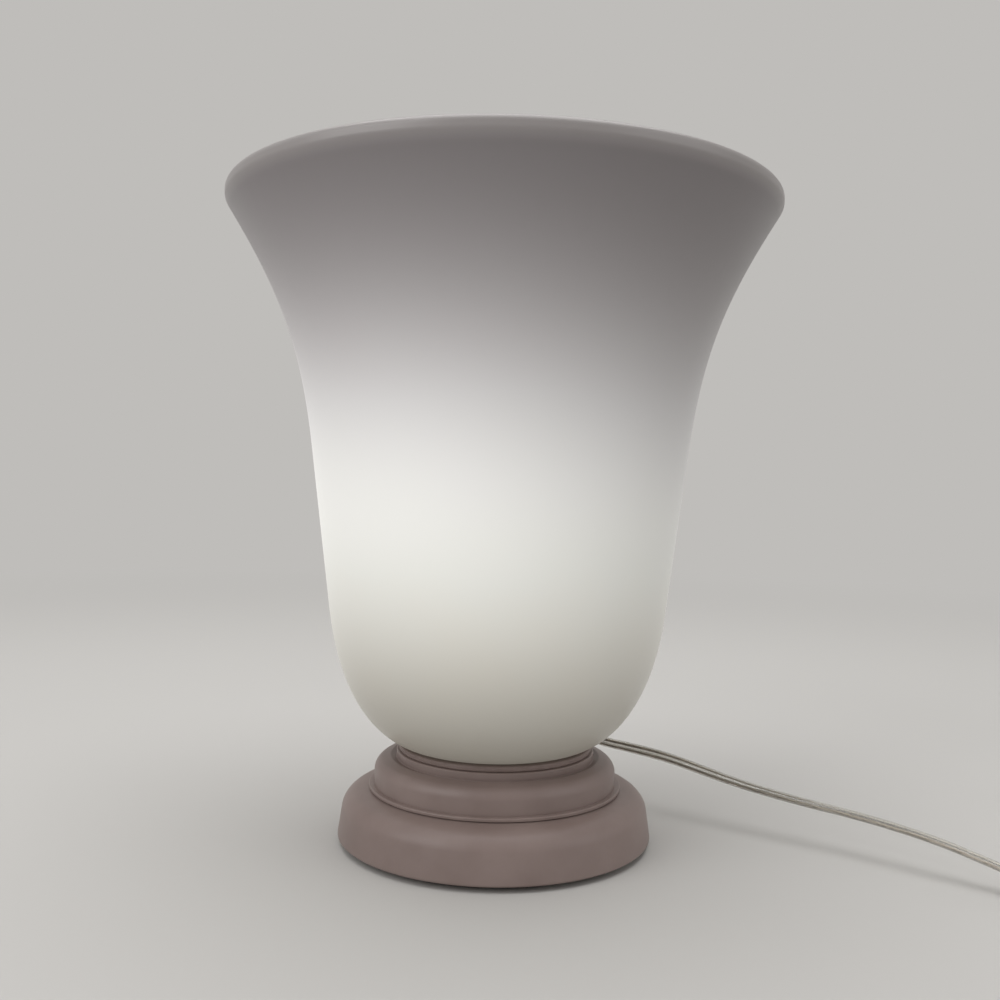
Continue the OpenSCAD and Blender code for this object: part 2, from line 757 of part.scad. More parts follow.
module bulb_contact() {
    button_d = 9;
    button_h = 1;
    rim_w = 1;
    step_w = 2;
    color("#3a3a3c") translate([0, 0, bulb_z]) {
        cylinder(d = button_d, h = button_h);
        translate([0, 0, button_h])
            cylinder(d1 = button_d + 2 * rim_w, d2 = bulb_cap_d - 2 * step_w, h = bulb_tip_h - button_h);
    }
}

module lead_run() {
    color("#c9c6bd") sweep(run_route, run_section);
}

module lead_link() {
    color("#c9c6bd") sweep(link_route, run_section);
}

module lead_coil() {
    color("#c9c6bd") sweep(coil_route, loop_section);
}

module lead_tail() {
    color("#c9c6bd") sweep(tail_route, run_section);
}

module on_switch() {
    translate(switch_at) rotate([0, 0, switch_heading]) children();
}

// Outline of the case from above: two arcs cut off square at the ends
module switch_plan(inset) {
    half_l = switch_l / 2;
    bulge = (switch_w - switch_end_w) / 2;
    arc_r = (half_l * half_l + bulge * bulge) / (2 * bulge);
    intersection() {
        translate([half_l, switch_w / 2 - arc_r]) circle(r = arc_r - inset);
        translate([half_l, arc_r - switch_w / 2]) circle(r = arc_r - inset);
        translate([inset, -switch_w / 2]) square([switch_l - 2 * inset, switch_w]);
    }
}

// Side view of the case: flat below, arched above
module switch_side(inset, grow) {
    end_low = 3;
    end_top = switch_h - 5;
    end_r = 4;
    foot_x = 5;
    crown_x = switch_l / 3;
    crown_r = 12;
    translate([0, switch_w / 2 + grow, 0]) rotate([90, 0, 0])
        linear_extrude(height = switch_w + 2 * grow)
            polygon(rounded([
                [inset, end_low, 0],
                [foot_x, inset, foot_x / 2],
                [switch_l - foot_x, inset, foot_x / 2],
                [switch_l - inset, end_low, 0],
                [switch_l - inset, end_top, end_r],
                [switch_l - crown_x, switch_h - inset, crown_r],
                [crown_x, switch_h - inset, crown_r],
                [inset, end_top, end_r]
            ]));
}

module switch_shell() {
    difference() {
        intersection() {
            linear_extrude(height = switch_h) switch_plan(0);
            switch_side(0, cut);
        }
        intersection() {
            translate([0, 0, -cut]) linear_extrude(height = switch_h + 2 * cut)
                switch_plan(switch_wall);
            switch_side(switch_wall, cut);
        }
    }
}

module at_switch_screws() {
    for (s = [-1, 1]) translate([(switch_l + s * switch_screw_span) / 2, s * switch_screw_off, 0])
        children();
}

module switch_channel() {
    for (x = [-cut, switch_l - channel_l + cut])
        translate([x, -channel_w / 2, switch_split_h - channel_h / 2])
            cube([channel_l, channel_w, channel_h]);
}

module switch_lower_case() {
    sink_h = switch_head_lift + switch_head_h + switch_head_lift;
    color("#f0eee8") on_switch() difference() {
        union() {
            intersection() {
                switch_shell();
                translate([-cut, -switch_w, -cut])
                    cube([switch_l + 2 * cut, 2 * switch_w, switch_split_h + cut]);
            }
            intersection() {
                linear_extrude(height = switch_split_h) switch_plan(0);
                at_switch_screws() translate([0, 0, switch_wall / 2])
                    cylinder(d = switch_post_d, h = switch_split_h - switch_wall / 2);
            }
        }
        at_switch_screws() {
            translate([0, 0, -cut]) cylinder(d = switch_screw_d + 2 * slip, h = switch_h);
            translate([0, 0, -cut]) cylinder(d = switch_head_d + 2 * slip, h = sink_h + cut);
        }
        switch_channel();
    }
}

module switch_upper_case() {
    window_l = 2 * rocker_r + 2 * clear;
    window_w = rocker_w + 2 * clear;
    cheek_t = 2.4;
    cheek_l = 3 * rocker_pin_d;
    cheek_drop = switch_h - switch_pin_z + rocker_pin_d;
    pin_bore_l = window_w + 2 * cheek_t + cut;
    color("#f0eee8") on_switch() difference() {
        union() {
            difference() {
                switch_shell();
                translate([-cut, -switch_w, -cut])
                    cube([switch_l + 2 * cut, 2 * switch_w, switch_split_h + cut]);
            }
            intersection() {
                at_switch_screws() translate([0, 0, switch_split_h])
                    cylinder(d = switch_post_d, h = switch_h - switch_split_h);
                switch_side(switch_wall / 2, cut);
            }
            for (s = [-1, 1])
                translate([(switch_l - cheek_l) / 2, s * (window_w + cheek_t) / 2 - cheek_t / 2,
                        switch_h - cheek_drop])
                    cube([cheek_l, cheek_t, cheek_drop - switch_wall / 2]);
        }
        translate([(switch_l - window_l) / 2, -window_w / 2, switch_split_h])
            cube([window_l, window_w, switch_h]);
        translate([switch_l / 2, pin_bore_l / 2, switch_pin_z]) rotate([90, 0, 0])
            cylinder(d = rocker_pin_d + 2 * slip, h = pin_bore_l);
        at_switch_screws() translate([0, 0, -cut])
            cylinder(d = switch_screw_d + 2 * slip, h = switch_h - switch_skin + cut);
        switch_channel();
    }
}

module switch_screws() {
    tip_gap = 0.5;
    color("#b9bcc0") on_switch() at_switch_screws() translate([0, 0, switch_head_lift]) {
        cylinder(d = switch_head_d, h = switch_head_h);
        cylinder(d = switch_screw_d, h = switch_h - switch_skin - switch_head_lift - tip_gap);
    }
}

module on_rocker() {
    on_switch() translate([switch_l / 2, 0, switch_pin_z]) rotate([0, switch_rest, 0]) children();
}

// Rocker: two faces that meet in a shallow valley, ends round about the pin
module switch_rocker() {
    valley_h = 3;
    keel_h = 2.6;
    flank_h = 0.5;
    pin_reach = 1.8;
    rise = valley_h + rocker_r * tan(rocker_tilt);
    pin_l = rocker_w + 2 * clear + 2 * pin_reach;
    color("#33353a") on_rocker() {
        rotate([90, 0, 0]) translate([0, 0, -rocker_w / 2]) linear_extrude(height = rocker_w)
            intersection() {
                circle(r = rocker_r);
                polygon([
                    [-rocker_r, rise], [0, valley_h], [rocker_r, rise],
                    [rocker_r, flank_h], [rocker_pin_d, -keel_h],
                    [-rocker_pin_d, -keel_h], [-rocker_r, flank_h]
                ]);
            }
        rotate([90, 0, 0]) translate([0, 0, -pin_l / 2]) cylinder(d = rocker_pin_d, h = pin_l);
    }
}

// Contact strip under the rocker, which tilts with it
bridge_t = 0.6;
bridge_l = 11;
bridge_w = 5;
bridge_top = 2.6;
module switch_bridge() {
    color("#cfae55") on_rocker()
        translate([-bridge_l / 2, -bridge_w / 2, -bridge_top - bridge_t])
            cube([bridge_l, bridge_w, bridge_t]);
}

// Fixed contacts: strips on the floor, one with a post that the tilted strip meets
module switch_contacts() {
    strip_t = 0.8;
    strip_w = 4.4;
    strip_l = 15;
    post_t = 2;
    post_in = 3.4;
    open_gap = 2;
    post_x = switch_l / 2 + bridge_l / 2 * cos(rocker_tilt) - post_in;
    drop = (bridge_top + bridge_t) * cos(rocker_tilt) + bridge_l / 2 * sin(rocker_tilt);
    post_top = switch_pin_z - drop - clear;
    color("#cfae55") on_switch() {
        translate([post_x, -strip_w / 2, switch_wall]) cube([strip_l, strip_w, strip_t]);
        translate([post_x, -strip_w / 2, switch_wall]) cube([post_t, strip_w, post_top - switch_wall]);
        translate([switch_l - post_x - strip_l, -strip_w / 2, switch_wall])
            cube([strip_l, strip_w, strip_t]);
        translate([switch_l - post_x - post_t, -strip_w / 2, switch_wall])
            cube([post_t, strip_w, post_top - switch_wall - open_gap]);
    }
}

// Strap round the bundle on the coil's far side
module coil_tie() {
    loop_r = [for (a = [tie_angle : 360 : coil_all_angle]) coil_r(a)];
    in_r = sqrt(pow(min(loop_r) - flex_t / 2, 2) - pow(tie_w / 2, 2)) - tie_gap;
    out_r = max(loop_r) + flex_t / 2 + tie_gap;
    bundle_w = out_r - in_r;
    bundle_h = flex_w + coil_layer + 2 * clear;
    middle = (out_r + in_r) / 2;
    low_z = coil_low_z - flex_w / 2 - clear;
    edge_r = 1.5;
    color("#26282b") translate([coil_at.x, coil_at.y, 0]) rotate([0, 0, tie_angle])
        translate([middle, tie_w / 2, low_z]) rotate([90, 0, 0]) linear_extrude(height = tie_w)
            difference() {
                polygon(rounded([
                    [-bundle_w / 2 - tie_t, -tie_t, edge_r], [bundle_w / 2 + tie_t, -tie_t, edge_r],
                    [bundle_w / 2 + tie_t, bundle_h + tie_t, edge_r],
                    [-bundle_w / 2 - tie_t, bundle_h + tie_t, edge_r]
                ]));
                polygon(rounded([
                    [-bundle_w / 2, 0, edge_r - tie_t], [bundle_w / 2, 0, edge_r - tie_t],
                    [bundle_w / 2, bundle_h, edge_r - tie_t], [-bundle_w / 2, bundle_h, edge_r - tie_t]
                ]));
            }
}

module on_plug() {
    translate(plug_at) rotate([0, 0, 90]) children();
}

// Plug: wedge seen from above, rounded sides seen along the pins
module plug_grip() {
    side_r = 5;
    waist_r = 14;
    corner_r = 2;
    wide_at = 0.7;
    face_x = plug_neck_l + plug_l;
    wide_x = plug_neck_l + plug_l * wide_at;
    intersection() {
        translate([0, 0, -plug_t]) linear_extrude(height = 2 * plug_t) polygon(rounded([
            [plug_neck_l - cut, -plug_back_w / 2, corner_r], [wide_x, -plug_w / 2, waist_r],
            [face_x, -plug_w / 2, corner_r], [face_x, plug_w / 2, corner_r],
            [wide_x, plug_w / 2, waist_r], [plug_neck_l - cut, plug_back_w / 2, corner_r]
        ]));
        rotate([90, 0, 90]) linear_extrude(height = 2 * face_x) polygon(rounded([
            [-plug_w / 2, -plug_t / 2, side_r], [plug_w / 2, -plug_t / 2, side_r],
            [plug_w / 2, plug_t / 2, side_r], [-plug_w / 2, plug_t / 2, side_r]
        ]));
    }
}

// Ribbed neck that keeps the lead from kinking
module plug_neck() {
    rib_count = 4;
    rib_step = plug_neck_l / (rib_count + 1);
    groove_w = rib_step / 2;
    groove_h = 0.8;
    step_w = 1;
    big_d = plug_t - 2 * step_w;
    difference() {
        rotate([0, 90, 0]) cylinder(d1 = plug_neck_d, d2 = big_d, h = plug_neck_l);
        for (i = [1 : rib_count])
            let (groove_d = plug_neck_d + (big_d - plug_neck_d) * i / (rib_count + 1) - groove_h)
                translate([i * rib_step - groove_w / 2, 0, 0]) rotate([0, 90, 0])
                    tube(2 * big_d, groove_d, groove_w);
    }
}

module plug_body() {
    color("#f0eee8") difference() {
        on_plug() {
            plug_grip();
            plug_neck();
        }
        at_pins() translate([0, 0, -pin_root_l - clear])
            cylinder(d = pin_d - 2 * sleeve_t + 2 * slip, h = pin_root_l + clear + cut);
    }
}

module at_pins() {
    lean = asin((pin_span - pin_tip_span) / 2 / pin_l);
    on_plug() for (s = [-1, 1])
        translate([plug_neck_l + plug_l, s * pin_span / 2, 0]) rotate([0, 90, -s * lean]) children();
}

module plug_pins() {
    tip_h = 1.5;
    color("#c6c8ca") at_pins() {
        translate([0, 0, -pin_root_l])
            cylinder(d = pin_d - 2 * sleeve_t, h = pin_root_l + sleeve_l + cut);
        translate([0, 0, sleeve_l]) cylinder(d = pin_d, h = pin_l - sleeve_l - tip_h);
        translate([0, 0, pin_l - tip_h]) cylinder(d1 = pin_d, d2 = pin_d - 2 * tip_h, h = tip_h);
    }
}

module plug_sleeves() {
    color("#26282b") at_pins() translate([0, 0, clear])
        tube(pin_d - 2 * sleeve_under, pin_d - 2 * sleeve_t + 2 * slip, sleeve_l - 2 * clear);
}

felt_pad();
plinth();
bottom_plate();
plate_screws();
ballast_disc();
tube_washer();
tube_nut();
threaded_tube();
upper_tier();
cord_bush();
holder_cap();
holder_core();
holder_skirt();
holder_shell();
holder_contact();
holder_terminals();
core_tails();
shade_gasket();
glass_shade();
shade_ring();
bulb_globe();
bulb_housing();
bulb_cap();
bulb_contact();
lead_run();
switch_lower_case();
switch_upper_case();
switch_screws();
switch_contacts();
switch_rocker();
switch_bridge();
lead_link();
lead_coil();
lead_tail();
coil_tie();
plug_body();
plug_pins();
plug_sleeves();
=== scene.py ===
import math

import bmesh
import bpy
from mathutils import Matrix, Vector
from mathutils.geometry import interpolate_bezier


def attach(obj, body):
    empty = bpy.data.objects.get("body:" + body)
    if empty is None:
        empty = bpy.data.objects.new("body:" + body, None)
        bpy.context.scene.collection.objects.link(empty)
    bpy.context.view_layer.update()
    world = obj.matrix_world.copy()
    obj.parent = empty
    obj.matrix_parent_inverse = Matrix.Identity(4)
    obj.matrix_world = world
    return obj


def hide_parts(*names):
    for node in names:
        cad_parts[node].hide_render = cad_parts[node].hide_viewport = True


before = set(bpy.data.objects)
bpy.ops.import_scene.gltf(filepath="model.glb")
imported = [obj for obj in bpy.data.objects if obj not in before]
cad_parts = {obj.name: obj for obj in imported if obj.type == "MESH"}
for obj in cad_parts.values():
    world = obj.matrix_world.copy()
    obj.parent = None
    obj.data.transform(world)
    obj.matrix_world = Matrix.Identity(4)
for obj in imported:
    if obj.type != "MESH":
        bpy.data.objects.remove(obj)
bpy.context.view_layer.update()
MM = 0.001


def placed(name, data):
    """A new object in the scene, at the origin."""
    obj = bpy.data.objects.new(name, data)
    bpy.context.scene.collection.objects.link(obj)
    return obj


def meshed(name, bm):
    """A new mesh from a bmesh, which is freed."""
    mesh = bpy.data.meshes.new(name)
    bm.to_mesh(mesh)
    bm.free()
    return mesh


# Camera, from the rim, the foot and the base edges in the photograph
LENS = 38.158
EYE = (0.0, -0.49139, 0.16452)
PITCH = math.radians(-0.98558)
ROLL = math.radians(1.01154)
YAW = math.radians(0.03404)

lens = bpy.data.cameras.new("camera")
lens.sensor_fit = "HORIZONTAL"
lens.sensor_width = 36.0
lens.lens = LENS
lens.clip_start = 0.01
camera = placed("camera", lens)
camera.matrix_world = (
    Matrix.Translation(EYE)
    @ Matrix.Rotation(-YAW, 4, "Z")
    @ Matrix.Rotation(math.pi / 2 + PITCH, 4, "X")
    @ Matrix.Rotation(ROLL, 4, "Z")
)
bpy.context.scene.camera = camera


# Colours and nodes
def linear(colour):
    """Linear RGBA of an sRGB hex value."""
    parts = [int(colour[i : i + 2], 16) / 255 for i in (1, 3, 5)]
    return [p / 12.92 if p <= 0.04045 else ((p + 0.055) / 1.055) ** 2.4 for p in parts] + [1.0]


def per_mm(size):
    """Texture scale at which one feature is that many millimetres."""
    return 1 / (size * MM)


# Length of one wave of the wave texture at a scale of 1
WAVE = math.pi / 10


def add(tree, kind, inputs=None, stops=(), to=None, **settings):
    """One node with its settings, constant inputs, ramp colours and its links in and out."""
    node = tree.nodes.new(kind)
    for key, value in settings.items():
        setattr(node, key, value)
    for key, value in (inputs or {}).items():
        if isinstance(value, bpy.types.NodeSocket):
            tree.links.new(value, node.inputs[key])
        else:
            node.inputs[key].default_value = value
    marks = node.color_ramp.elements if stops else ()
    while len(marks) < len(stops):
        marks.new(1.0)
    for mark, (at, colour) in zip(marks, stops):
        mark.position, mark.color = at, linear(colour)
    if to is not None:
        tree.links.new(node.outputs[0], to)
    return node


def surface(name):
    """A new material with its tree, shader and Object coordinates."""
    material = bpy.data.materials.new(name)
    material.use_nodes = True
    tree = material.node_tree
    shader = tree.nodes["Principled BSDF"]
    place = add(tree, "ShaderNodeTexCoord").outputs["Object"]
    return material, tree, shader, place


# Opal glass, blown and fire polished: a milky wall with a soft shine that the lamp inside fills
# with light, here painted light: an emission near white round the bulb, warm towards the foot and
# grey at the rim. The glass's tint is painted shade, a grey darker than white opal, with a paler
# lip that is painted light where the glass is thick; faint ripples from the blowing and a few seeds
# under the skin
GLOW_LEAN = 0.075
GLOW_SIDE = -40 * MM
GLOW_WIDTH = 137 * MM
GLASS_FOOT = 44 * MM
GLASS_RIM = 292 * MM
CLOUD_SHARE = 0.1
SEED_CELL = 24
SEED_RADIUS = 0.6


def opal_glass(name, bright_z, fade, strength, glows, painted_shade_and_light_stops):
    """Opal glass with a painted glow that is brightest at a height in millimetres, fades over a
    distance from there and to the lamp's right, and takes its colours of painted light and of glass
    from foot to rim, the glass's colours darkened by painted shade and paler at the lip by painted
    light."""
    material, tree, shader, place = surface(name)
    split = add(tree, "ShaderNodeSeparateXYZ", {"Vector": place})
    lean = add(tree, "ShaderNodeMath",
               {0: split.outputs["X"], 1: GLOW_LEAN, 2: split.outputs["Z"]},
               operation="MULTIPLY_ADD")
    above = add(tree, "ShaderNodeMapRange",
                {"Value": lean.outputs[0], "From Min": bright_z * MM,
                 "From Max": (bright_z + fade) * MM},
                clamp=False)
    aside = add(tree, "ShaderNodeMapRange",
                {"Value": split.outputs["X"], "From Min": GLOW_SIDE,
                 "From Max": GLOW_SIDE + GLOW_WIDTH},
                clamp=False)
    rise = add(tree, "ShaderNodeMath", {0: above.outputs[0], 1: above.outputs[0]},
               operation="MULTIPLY")
    far = add(tree, "ShaderNodeMath",
              {0: aside.outputs[0], 1: aside.outputs[0], 2: rise.outputs[0]},
              operation="MULTIPLY_ADD")
    near = add(tree, "ShaderNodeMath", {0: far.outputs[0], 1: -1.0}, operation="MULTIPLY")
    fall = add(tree, "ShaderNodeMath", {0: near.outputs[0]}, operation="EXPONENT")
    clouds = add(tree, "ShaderNodeTexNoise", {"Vector": place, "Scale": per_mm(38), "Detail": 3.0})
    height = add(tree, "ShaderNodeMapRange",
                 {"Value": split.outputs["Z"], "From Min": GLASS_FOOT, "From Max": GLASS_RIM,
                  "To Max": 1 - CLOUD_SHARE})
    drift = add(tree, "ShaderNodeMath",
                {0: clouds.outputs["Fac"], 1: CLOUD_SHARE, 2: height.outputs[0]},
                operation="MULTIPLY_ADD")
    tone = add(tree, "ShaderNodeValToRGB", {"Fac": drift.outputs[0]}, stops=glows)
    # Painted glow: emission set by height and side, standing in for the bulb's light through the
    # glass
    add(tree, "ShaderNodeVectorMath", {"Vector": tone.outputs["Color"], "Scale": fall.outputs[0]},
        to=shader.inputs["Emission Color"], operation="SCALE")
    shader.inputs["Emission Strength"].default_value = strength
    # Glass colour: a grey darker than white opal, painted shade, and paler at the lip, painted
    # light
    add(tree, "ShaderNodeValToRGB", {"Fac": height.outputs[0]}, stops=painted_shade_and_light_stops,
        to=shader.inputs["Base Color"])
    add(tree, "ShaderNodeMapRange",
        {"Value": clouds.outputs["Fac"], "To Min": 0.29, "To Max": 0.37},
        to=shader.inputs["Roughness"])
    seed = add(tree, "ShaderNodeTexVoronoi", {"Vector": place, "Scale": per_mm(SEED_CELL)})
    pimple = add(tree, "ShaderNodeMapRange",
                 {"Value": seed.outputs["Distance"], "From Max": SEED_RADIUS / SEED_CELL,
                  "To Min": 1.0, "To Max": 0.0})
    ripple = add(tree, "ShaderNodeMath", {0: clouds.outputs["Fac"], 1: 2.0, 2: pimple.outputs[0]},
                 operation="MULTIPLY_ADD")
    add(tree, "ShaderNodeBump",
        {"Height": ripple.outputs[0], "Strength": 0.3, "Distance": 0.2 * MM},
        to=shader.inputs["Normal"])
    shader.inputs["IOR"].default_value = 1.52
    return material


opal_out = opal_glass(
    "blown_opal_glass", bright_z=147, fade=80, strength=0.7,
    glows=[(0.05, "#fff8e6"), (0.35, "#fcfdf6"), (0.6, "#fdfcfb"), (0.95, "#f4ebee")],
    # Grey stops are painted shade; the paler last stop at the lip is painted light
    painted_shade_and_light_stops=[(0.0, "#7c7872"), (0.45, "#7a7674"), (0.866, "#757071"), (0.883, "#928d8c")])
# The inside is a lighter copy of the glass, painted light of the bulb on the inner wall, with its
# own painted glow
painted_lit_opal_inside = opal_glass(
    "blown_opal_glass_inside", bright_z=110, fade=115, strength=0.5,
    glows=[(0.05, "#fff8ea"), (0.35, "#fdfdf8"), (0.6, "#fdfcfb"), (0.95, "#f4ebee")],
    painted_shade_and_light_stops=[(0.0, "#8e8a84"), (0.55, "#8e8a88"), (0.866, "#797475"), (0.883, "#928d8c")])

# Lacquered wood, turned and sprayed: an even dusty rose, partly the paint's own colour and partly
# painted shade, as its tone is taken darker than the paint, with a satin shine, the faint rings of
# the turning under the paint and a slight mottle
lacquer, tree, shader, place = surface("lacquered_turned_wood")
mottle = add(tree, "ShaderNodeTexNoise", {"Vector": place, "Scale": per_mm(22), "Detail": 4.0})
# The rose is darker than the paint itself: painted shade over the paint's own colour
add(tree, "ShaderNodeValToRGB", {"Fac": mottle.outputs["Fac"]},
    stops=[(0.3, "#84736e"), (0.7, "#907f7a")], to=shader.inputs["Base Color"])
rings = add(tree, "ShaderNodeTexWave",
            {"Vector": place, "Scale": per_mm(2.4) * WAVE, "Distortion": 1.5, "Detail": 2.0,
             "Detail Scale": 0.3},
            wave_type="RINGS", rings_direction="Z")
peel = add(tree, "ShaderNodeTexNoise", {"Vector": place, "Scale": per_mm(1.6), "Detail": 2.0})
coat = add(tree, "ShaderNodeMath", {0: rings.outputs["Fac"], 1: 0.35, 2: peel.outputs["Fac"]},
           operation="MULTIPLY_ADD")
add(tree, "ShaderNodeBump", {"Height": coat.outputs[0], "Strength": 0.12, "Distance": 0.05 * MM},
    to=shader.inputs["Normal"])
add(tree, "ShaderNodeMapRange", {"Value": mottle.outputs["Fac"], "To Min": 0.36, "To Max": 0.48},
    to=shader.inputs["Roughness"])

# Wool felt, die cut: dark warm grey, matte, with short matted fibres
felt, tree, shader, place = surface("wool_felt")
fibre = add(tree, "ShaderNodeTexNoise",
            {"Vector": place, "Scale": per_mm(0.8), "Detail": 6.0, "Distortion": 1.2})
add(tree, "ShaderNodeValToRGB", {"Fac": fibre.outputs["Fac"]},
    stops=[(0.3, "#2e2927"), (0.7, "#4d4642")], to=shader.inputs["Base Color"])
add(tree, "ShaderNodeBump", {"Height": fibre.outputs["Fac"], "Strength": 0.7, "Distance": 0.4 * MM},
    to=shader.inputs["Normal"])
shader.inputs["Roughness"].default_value = 0.95
shader.inputs["Sheen Weight"].default_value = 0.4

# Silicone rubber, moulded: tinted to the base's darkened rose, so partly painted shade, slightly
# milky, soft shine
rubber, tree, shader, place = surface("tinted_silicone_rubber")
bloom = add(tree, "ShaderNodeTexNoise", {"Vector": place, "Scale": per_mm(6), "Detail": 3.0})
# Tinted to the darkened base: partly painted shade
add(tree, "ShaderNodeValToRGB", {"Fac": bloom.outputs["Fac"]},
    stops=[(0.3, "#806f6a"), (0.7, "#8b7a75")], to=shader.inputs["Base Color"])
shader.inputs["Roughness"].default_value = 0.55
shader.inputs["Subsurface Weight"].default_value = 0.15
shader.inputs["Subsurface Radius"].default_value = (2 * MM, 1.6 * MM, 1.4 * MM)

# Clear PVC, extruded: glassy and faintly grey, with a hazy skin that the two cores show through
pvc, tree, shader, place = surface("clear_extruded_pvc")
haze = add(tree, "ShaderNodeTexNoise", {"Vector": place, "Scale": per_mm(4), "Detail": 3.0})
add(tree, "ShaderNodeValToRGB", {"Fac": haze.outputs["Fac"]},
    stops=[(0.3, "#d9d7cf"), (0.7, "#eae8e2")], to=shader.inputs["Base Color"])
add(tree, "ShaderNodeMapRange", {"Value": haze.outputs["Fac"], "To Min": 0.08, "To Max": 0.24},
    to=shader.inputs["Roughness"])
shader.inputs["IOR"].default_value = 1.53
shader.inputs["Transmission Weight"].default_value = 0.85

# Tinned copper strand, bunched: pale grey brown metal with the fine lay of its wires
strand, tree, shader, place = surface("tinned_copper_strand")
lay = add(tree, "ShaderNodeTexWave",
          {"Vector": place, "Scale": per_mm(0.7) * WAVE, "Distortion": 3.0},
          bands_direction="DIAGONAL")
add(tree, "ShaderNodeValToRGB", {"Fac": lay.outputs["Fac"]},
    stops=[(0.2, "#8a8073"), (0.8, "#b0a699")], to=shader.inputs["Base Color"])
shader.inputs["Metallic"].default_value = 1.0
shader.inputs["Roughness"].default_value = 0.38

# ABS, injection moulded: off white, semi-gloss, with a very fine spark texture
abs_white, tree, shader, place = surface("moulded_white_abs")
spark = add(tree, "ShaderNodeTexNoise", {"Vector": place, "Scale": per_mm(0.7), "Detail": 2.0})
cloud = add(tree, "ShaderNodeTexNoise", {"Vector": place, "Scale": per_mm(15), "Detail": 2.0})
add(tree, "ShaderNodeValToRGB", {"Fac": cloud.outputs["Fac"]},
    stops=[(0.3, "#dedbd3"), (0.7, "#e8e6df")], to=shader.inputs["Base Color"])
add(tree, "ShaderNodeBump",
    {"Height": spark.outputs["Fac"], "Strength": 0.15, "Distance": 0.05 * MM},
    to=shader.inputs["Normal"])
add(tree, "ShaderNodeMapRange", {"Value": spark.outputs["Fac"], "To Min": 0.3, "To Max": 0.42},
    to=shader.inputs["Roughness"])

# Phenolic resin, compression moulded: near black with a brown cast, glossy, faint flow marks
bakelite, tree, shader, place = surface("black_phenolic_resin")
flow = add(tree, "ShaderNodeTexNoise",
           {"Vector": place, "Scale": per_mm(5), "Detail": 4.0, "Distortion": 1.5})
add(tree, "ShaderNodeValToRGB", {"Fac": flow.outputs["Fac"]},
    stops=[(0.3, "#1a1817"), (0.7, "#262322")], to=shader.inputs["Base Color"])
add(tree, "ShaderNodeMapRange", {"Value": flow.outputs["Fac"], "To Min": 0.29, "To Max": 0.4},
    to=shader.inputs["Roughness"])

# Brass, drawn and turned: warm yellow metal, lightly tarnished in patches
brass, tree, shader, place = surface("drawn_brass")
patina = add(tree, "ShaderNodeTexNoise", {"Vector": place, "Scale": per_mm(4), "Detail": 5.0})
add(tree, "ShaderNodeValToRGB", {"Fac": patina.outputs["Fac"]},
    stops=[(0.3, "#a9853f"), (0.7, "#d0ad62")], to=shader.inputs["Base Color"])
shader.inputs["Metallic"].default_value = 1.0
add(tree, "ShaderNodeMapRange", {"Value": patina.outputs["Fac"], "To Min": 0.44, "To Max": 0.29},
    to=shader.inputs["Roughness"])

# Nickel plate, bright: pale warm grey metal with fine wipe marks
nickel, tree, shader, place = surface("bright_nickel_plate")
wipe = add(tree, "ShaderNodeTexNoise", {"Vector": place, "Scale": per_mm(2), "Detail": 5.0})
add(tree, "ShaderNodeValToRGB", {"Fac": wipe.outputs["Fac"]},
    stops=[(0.3, "#b3afa8"), (0.7, "#cfccc6")], to=shader.inputs["Base Color"])
shader.inputs["Metallic"].default_value = 1.0
add(tree, "ShaderNodeMapRange", {"Value": wipe.outputs["Fac"], "To Min": 0.15, "To Max": 0.26},
    to=shader.inputs["Roughness"])

# Zinc plated steel, pressed: cool grey metal with a cloudy spangle
zinc, tree, shader, place = surface("zinc_plated_steel")
spangle = add(tree, "ShaderNodeTexVoronoi", {"Vector": place, "Scale": per_mm(5)})
add(tree, "ShaderNodeValToRGB", {"Fac": spangle.outputs["Distance"]},
    stops=[(0.1, "#8f9294"), (0.7, "#b0b3b4")], to=shader.inputs["Base Color"])
shader.inputs["Metallic"].default_value = 1.0
add(tree, "ShaderNodeMapRange",
    {"Value": spangle.outputs["Distance"], "To Min": 0.3, "To Max": 0.46},
    to=shader.inputs["Roughness"])

# Porcelain, pressed and unglazed: chalky off white with fine specks
porcelain, tree, shader, place = surface("unglazed_porcelain")
speck = add(tree, "ShaderNodeTexNoise", {"Vector": place, "Scale": per_mm(0.6), "Detail": 3.0})
add(tree, "ShaderNodeValToRGB", {"Fac": speck.outputs["Fac"]},
    stops=[(0.28, "#cfc7b8"), (0.45, "#e6e0d4")], to=shader.inputs["Base Color"])
shader.inputs["Roughness"].default_value = 0.7

# Hardboard, pressed: brown, smooth face with flecks of fibre
hardboard, tree, shader, place = surface("pressed_hardboard")
fleck = add(tree, "ShaderNodeTexNoise",
            {"Vector": place, "Scale": per_mm(1.5), "Detail": 6.0, "Distortion": 0.8})
add(tree, "ShaderNodeValToRGB", {"Fac": fleck.outputs["Fac"]},
    stops=[(0.3, "#5b4433"), (0.7, "#876a50")], to=shader.inputs["Base Color"])
shader.inputs["Roughness"].default_value = 0.6

# PVC core insulation, extruded: brown, smooth
sheath, tree, shader, place = surface("brown_core_insulation")
smear = add(tree, "ShaderNodeTexNoise", {"Vector": place, "Scale": per_mm(3), "Detail": 2.0})
add(tree, "ShaderNodeValToRGB", {"Fac": smear.outputs["Fac"]},
    stops=[(0.3, "#5a3621"), (0.7, "#6e452b")], to=shader.inputs["Base Color"])
shader.inputs["Roughness"].default_value = 0.4

# Nylon webbing, woven: black, matte, with a small square weave
webbing, tree, shader, place = surface("black_nylon_webbing")
weave = add(tree, "ShaderNodeTexChecker", {"Vector": place, "Scale": per_mm(0.8)})
knit = add(tree, "ShaderNodeTexNoise", {"Vector": place, "Scale": per_mm(0.8), "Detail": 3.0})
add(tree, "ShaderNodeValToRGB", {"Fac": knit.outputs["Fac"]},
    stops=[(0.3, "#151618"), (0.7, "#2b2d31")], to=shader.inputs["Base Color"])
add(tree, "ShaderNodeBump", {"Height": weave.outputs["Fac"], "Strength": 0.5, "Distance": 0.1 * MM},
    to=shader.inputs["Normal"])
shader.inputs["Roughness"].default_value = 0.85

